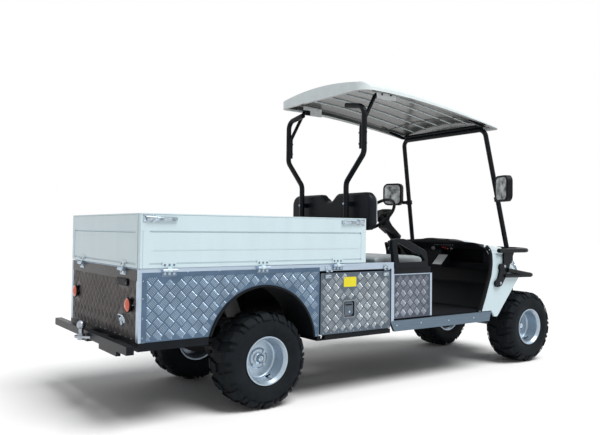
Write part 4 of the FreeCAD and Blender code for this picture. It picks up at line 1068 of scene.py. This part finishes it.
def make_dash_trim():
    marks = [turned_form(fascia(0.3, -53 - 23.5 * i), FASCIA_OUT,
                         [(4.2, 0), (4.2, 2.0), (3.2, 2.6)], 10) for i in range(9)]
    piece("dash_marks", *join_meshes(marks), "zinc_steel", "cart", "mark_grey")
    for name, share, y, material in DASH_LIGHTS:
        dot = turned_form(fascia(share, y), FASCIA_OUT, [(6.5, 0), (6.5, 3), (4.5, 5.5)], 16)
        piece(name, *dot, "lamp_red", "cart", material)
    knob = turned_form(fascia(0.62, -22), FASCIA_OUT,
                       [(9, 0), (9, 6), (15, 8), (16, 20), (13, 24)], 24)
    piece("dash_knob", *knob, "black_plastic", "cart", "mark_grey", smooth=40)
    key = [turned_form(fascia(0.75, -205), FASCIA_OUT, [(11, 0), (11, 5), (9, 7)], 20),
           tube_form([fascia(0.75, -205, 6), fascia(0.75, -205, 30)], 3.0, 8)]
    piece("dash_key", *join_meshes(key), "zinc_steel", "cart")


def make_console():
    """The box below the panel, with a blank card on its sloping face."""
    side = [CONSOLE_TOP, CONSOLE_FOOT, (CONSOLE_FOOT[0], CONSOLE_FOOT[1] - 14), (1994, 748)]
    piece("dash_console", *slab(side, *CONSOLE_Y), "dash_plastic", "cart")
    top, foot = [at(x, sum(CONSOLE_Y) / 2, z) for x, z in (CONSOLE_TOP, CONSOLE_FOOT)]
    slope = (foot - top).normalized()
    out = Vector((slope.z, 0, -slope.x))
    outline = box_outline(48, 55, 4)
    verts = [(top + foot) / 2 + (OUT[1] * a + slope * b + out * depth) / 1000
             for depth in (0.2, 2.0) for a, b in outline]
    piece("dash_card", verts, ring_faces(2, len(outline)), "board_white", "cart",
          "card_white")


MIRROR = (2091.5, 612, 1374.2)
MIRROR_TURN = math.radians(22)
MIRROR_FACE = 0.0215


def make_mirror_glass():
    cos, sin = math.cos(MIRROR_TURN), math.sin(MIRROR_TURN)
    for word, side in SIDES:
        across = Vector((-sin, side * cos, 0))
        out = Vector((-cos, -side * sin, 0))
        place = at(MIRROR[0], side * MIRROR[1], MIRROR[2]) + out * MIRROR_FACE
        outline_plate("mirror_glass_" + word, box_outline(78, 86, 34), place, across, out,
                      1.6, "chrome", "cart", "mirror_glass")
        outline_plate("mirror_rim_" + word, box_outline(85, 93, 38), place, across, out, 4.0,
                      "black_plastic", "cart", hole=box_outline(77, 85, 33))


def make_post_bolts():
    for word, side in SIDES:
        places = [at(794, side * 264, z) for z in (1100, 1225)]
        heads("post_bolts_" + word, places, BACK, 5.5, "zinc_steel", "cart", bolt_head,
              "aluminium")
        places = [at(x, side * 434.5, z) for x, z in ((989, 1984), (1072, 1988))]
        heads("bracket_bolts_" + word, places, OUT[side], 8, "black_steel", "cart")


RIB_BACK = 880
RIB_FRONT = 1855
RIB_SIDE = 420
ROD_Y = 425
TOP_BAR = (2060, 1877)
ARM_Y = (438.4, 451.6)


def roof_under():
    """A function that finds the height of the roof's underside in metres."""
    bpy.context.view_layer.update()
    tree = BVHTree.FromObject(NODES["roof"], bpy.context.evaluated_depsgraph_get())

    def height(x, y):
        hit = tree.ray_cast(at(x, y, 1500), UP)[0]
        return hit.z if hit else at(x, y, 1980).z
    return height


def make_roof_trim():
    """Ribs along the roof's underside, the windshield's top bar and its rod."""
    height = roof_under()
    lines = [[(RIB_FRONT, y) for y in range(-400, 401, 50)]]
    lines += [[(x, y) for x in range(RIB_BACK, RIB_FRONT + 15, 60)]
              for y in (-RIB_SIDE, RIB_SIDE)]
    ribs = []
    for line in lines:
        path = [at(x, y, 0) + UP * (height(x, y) - 0.001) for x, y in line]
        ribs.append(tube_form(path, 3.2, 6))
    # The ribs take the dark grey of painted shade, like the underside.
    piece("roof_ribs", *join_meshes(ribs), "roof_white", "cart", "rib_grey", smooth=60)
    x, z = TOP_BAR
    parts = [tube_form([at(x, y, z) for y in range(-425, 426, 50)], 14, 12)]
    for side in (-1, 1):
        crown = [(x, height(x, side * 445) * 1000 - 2) for x in (2000, 1960, 1925, 1890)]
        cover = [(2079, 1862), (2079, 1870), *crown, (1890, 1893), (2040, 1859)]
        parts.append(slab(cover, *(side * y for y in ARM_Y)))
    piece("windshield_bar", *join_meshes(parts), "black_steel", "cart")
    rod = tube_form([at(1775, ROD_Y, 0) + UP * (height(1775, ROD_Y) - 0.012),
                     at(2044, ROD_Y, 1903)], 5.0, 8)
    piece("roof_rod", *rod, "black_steel", "cart")


def make_details():
    make_board_frames()
    for word, side in SIDES:
        make_side_hinges(word, side)
    make_tail_hinges()
    make_latch_trim()
    make_rivets()
    make_door_trim()
    make_rear_trim()
    make_cowl_trim()
    make_dash_trim()
    make_console()
    make_mirror_glass()
    make_post_bolts()
    make_roof_trim()


# Stage

CAMERA_AT = Vector((-3.017466, -3.776591, 1.042594))
CAMERA_YAW = 0.939973559
CAMERA_PITCH = 0.0333978757
CAMERA_ROLL = 0.0109054478
PHOTO = (600.0, 435.0)
FOCAL_PX = 652.764677
CENTRE_PX = (310.503084, 207.914836)
WORLD_LEVEL = 0.33
SUN_LEVEL = 2.75
SUN_FROM = Vector((0.16, -0.44, 0.88))
SUN_SOFTNESS = math.radians(35)
GROUND_Z = -0.0008


def make_camera():
    data = bpy.data.cameras.new("camera")
    cam = new_object("camera", data)
    cos, sin = math.cos, math.sin
    ahead = Vector((cos(CAMERA_PITCH) * cos(CAMERA_YAW), cos(CAMERA_PITCH) * sin(CAMERA_YAW),
                    sin(CAMERA_PITCH)))
    level = Vector((sin(CAMERA_YAW), -cos(CAMERA_YAW), 0))
    upward = level.cross(ahead)
    right = level * cos(CAMERA_ROLL) + upward * sin(CAMERA_ROLL)
    up = upward * cos(CAMERA_ROLL) - level * sin(CAMERA_ROLL)
    turn = Matrix((right, up, -ahead)).transposed()
    cam.matrix_world = Matrix.Translation(CAMERA_AT) @ turn.to_4x4()
    data.sensor_width = 36.0
    data.lens = FOCAL_PX / PHOTO[0] * data.sensor_width
    data.shift_x = (PHOTO[0] / 2 - CENTRE_PX[0]) / PHOTO[0]
    data.shift_y = (CENTRE_PX[1] - PHOTO[1] / 2) / PHOTO[0]
    data.clip_start = 0.05
    data.clip_end = 200.0
    bpy.context.scene.camera = cam


def seen_directly(nodes, links):
    """1 where the camera, a reflection or a transmission looks, 0 for the light that falls."""
    path = nodes.new("ShaderNodeLightPath")
    seen = path.outputs["Is Camera Ray"]
    for name in ("Is Glossy Ray", "Is Transmission Ray"):
        either = nodes.new("ShaderNodeMath")
        either.operation = "MAXIMUM"
        links.new(seen, either.inputs[0])
        links.new(path.outputs[name], either.inputs[1])
        seen = either.outputs[0]
    return seen


def make_world():
    """Soft light from all sides, and plain white where the camera or a reflection looks."""
    world = bpy.data.worlds.new("studio")
    bpy.context.scene.world = world
    nodes, links = node_tree(world)
    nodes.clear()
    out = nodes.new("ShaderNodeOutputWorld")
    mix = nodes.new("ShaderNodeMixShader")
    links.new(seen_directly(nodes, links), mix.inputs["Fac"])
    for socket, level in ((1, WORLD_LEVEL), (2, 1.0)):
        light = nodes.new("ShaderNodeBackground")
        node_input(light, "Color", (1, 1, 1, 1))
        node_input(light, "Strength", level)
        links.new(light.outputs[0], mix.inputs[socket])
    links.new(mix.outputs[0], out.inputs[0])


def make_floor():
    bpy.ops.mesh.primitive_circle_add(vertices=96, radius=60, fill_type="NGON",
                                      location=(0, 0, GROUND_Z))
    floor = bpy.context.object
    floor.name = "floor"
    material = bpy.data.materials.new("floor_white")
    nodes, links = node_tree(material)
    nodes.clear()
    out = nodes.new("ShaderNodeOutputMaterial")
    lit = nodes.new("ShaderNodeBsdfDiffuse")
    tone = two_tone(nodes, links, seen_directly(nodes, links), (0.93, 0.93, 0.93),
                    (1.0, 1.0, 1.0))
    links.new(tone, lit.inputs["Color"])
    links.new(lit.outputs[0], out.inputs[0])
    floor.data.materials.append(material)


def make_lights():
    data = bpy.data.lights.new("overhead", "SUN")
    data.energy = SUN_LEVEL
    data.angle = SUN_SOFTNESS
    light = new_object("overhead", data)
    light.rotation_mode = "QUATERNION"
    light.rotation_quaternion = SUN_FROM.to_track_quat("Z", "Y")


bpy.context.scene.view_settings.view_transform = "Standard"
dress_nodes()
make_tread()
make_tyres()
make_wheel_trim()
make_seats()
make_details()
make_camera()
make_world()
make_floor()
make_lights()
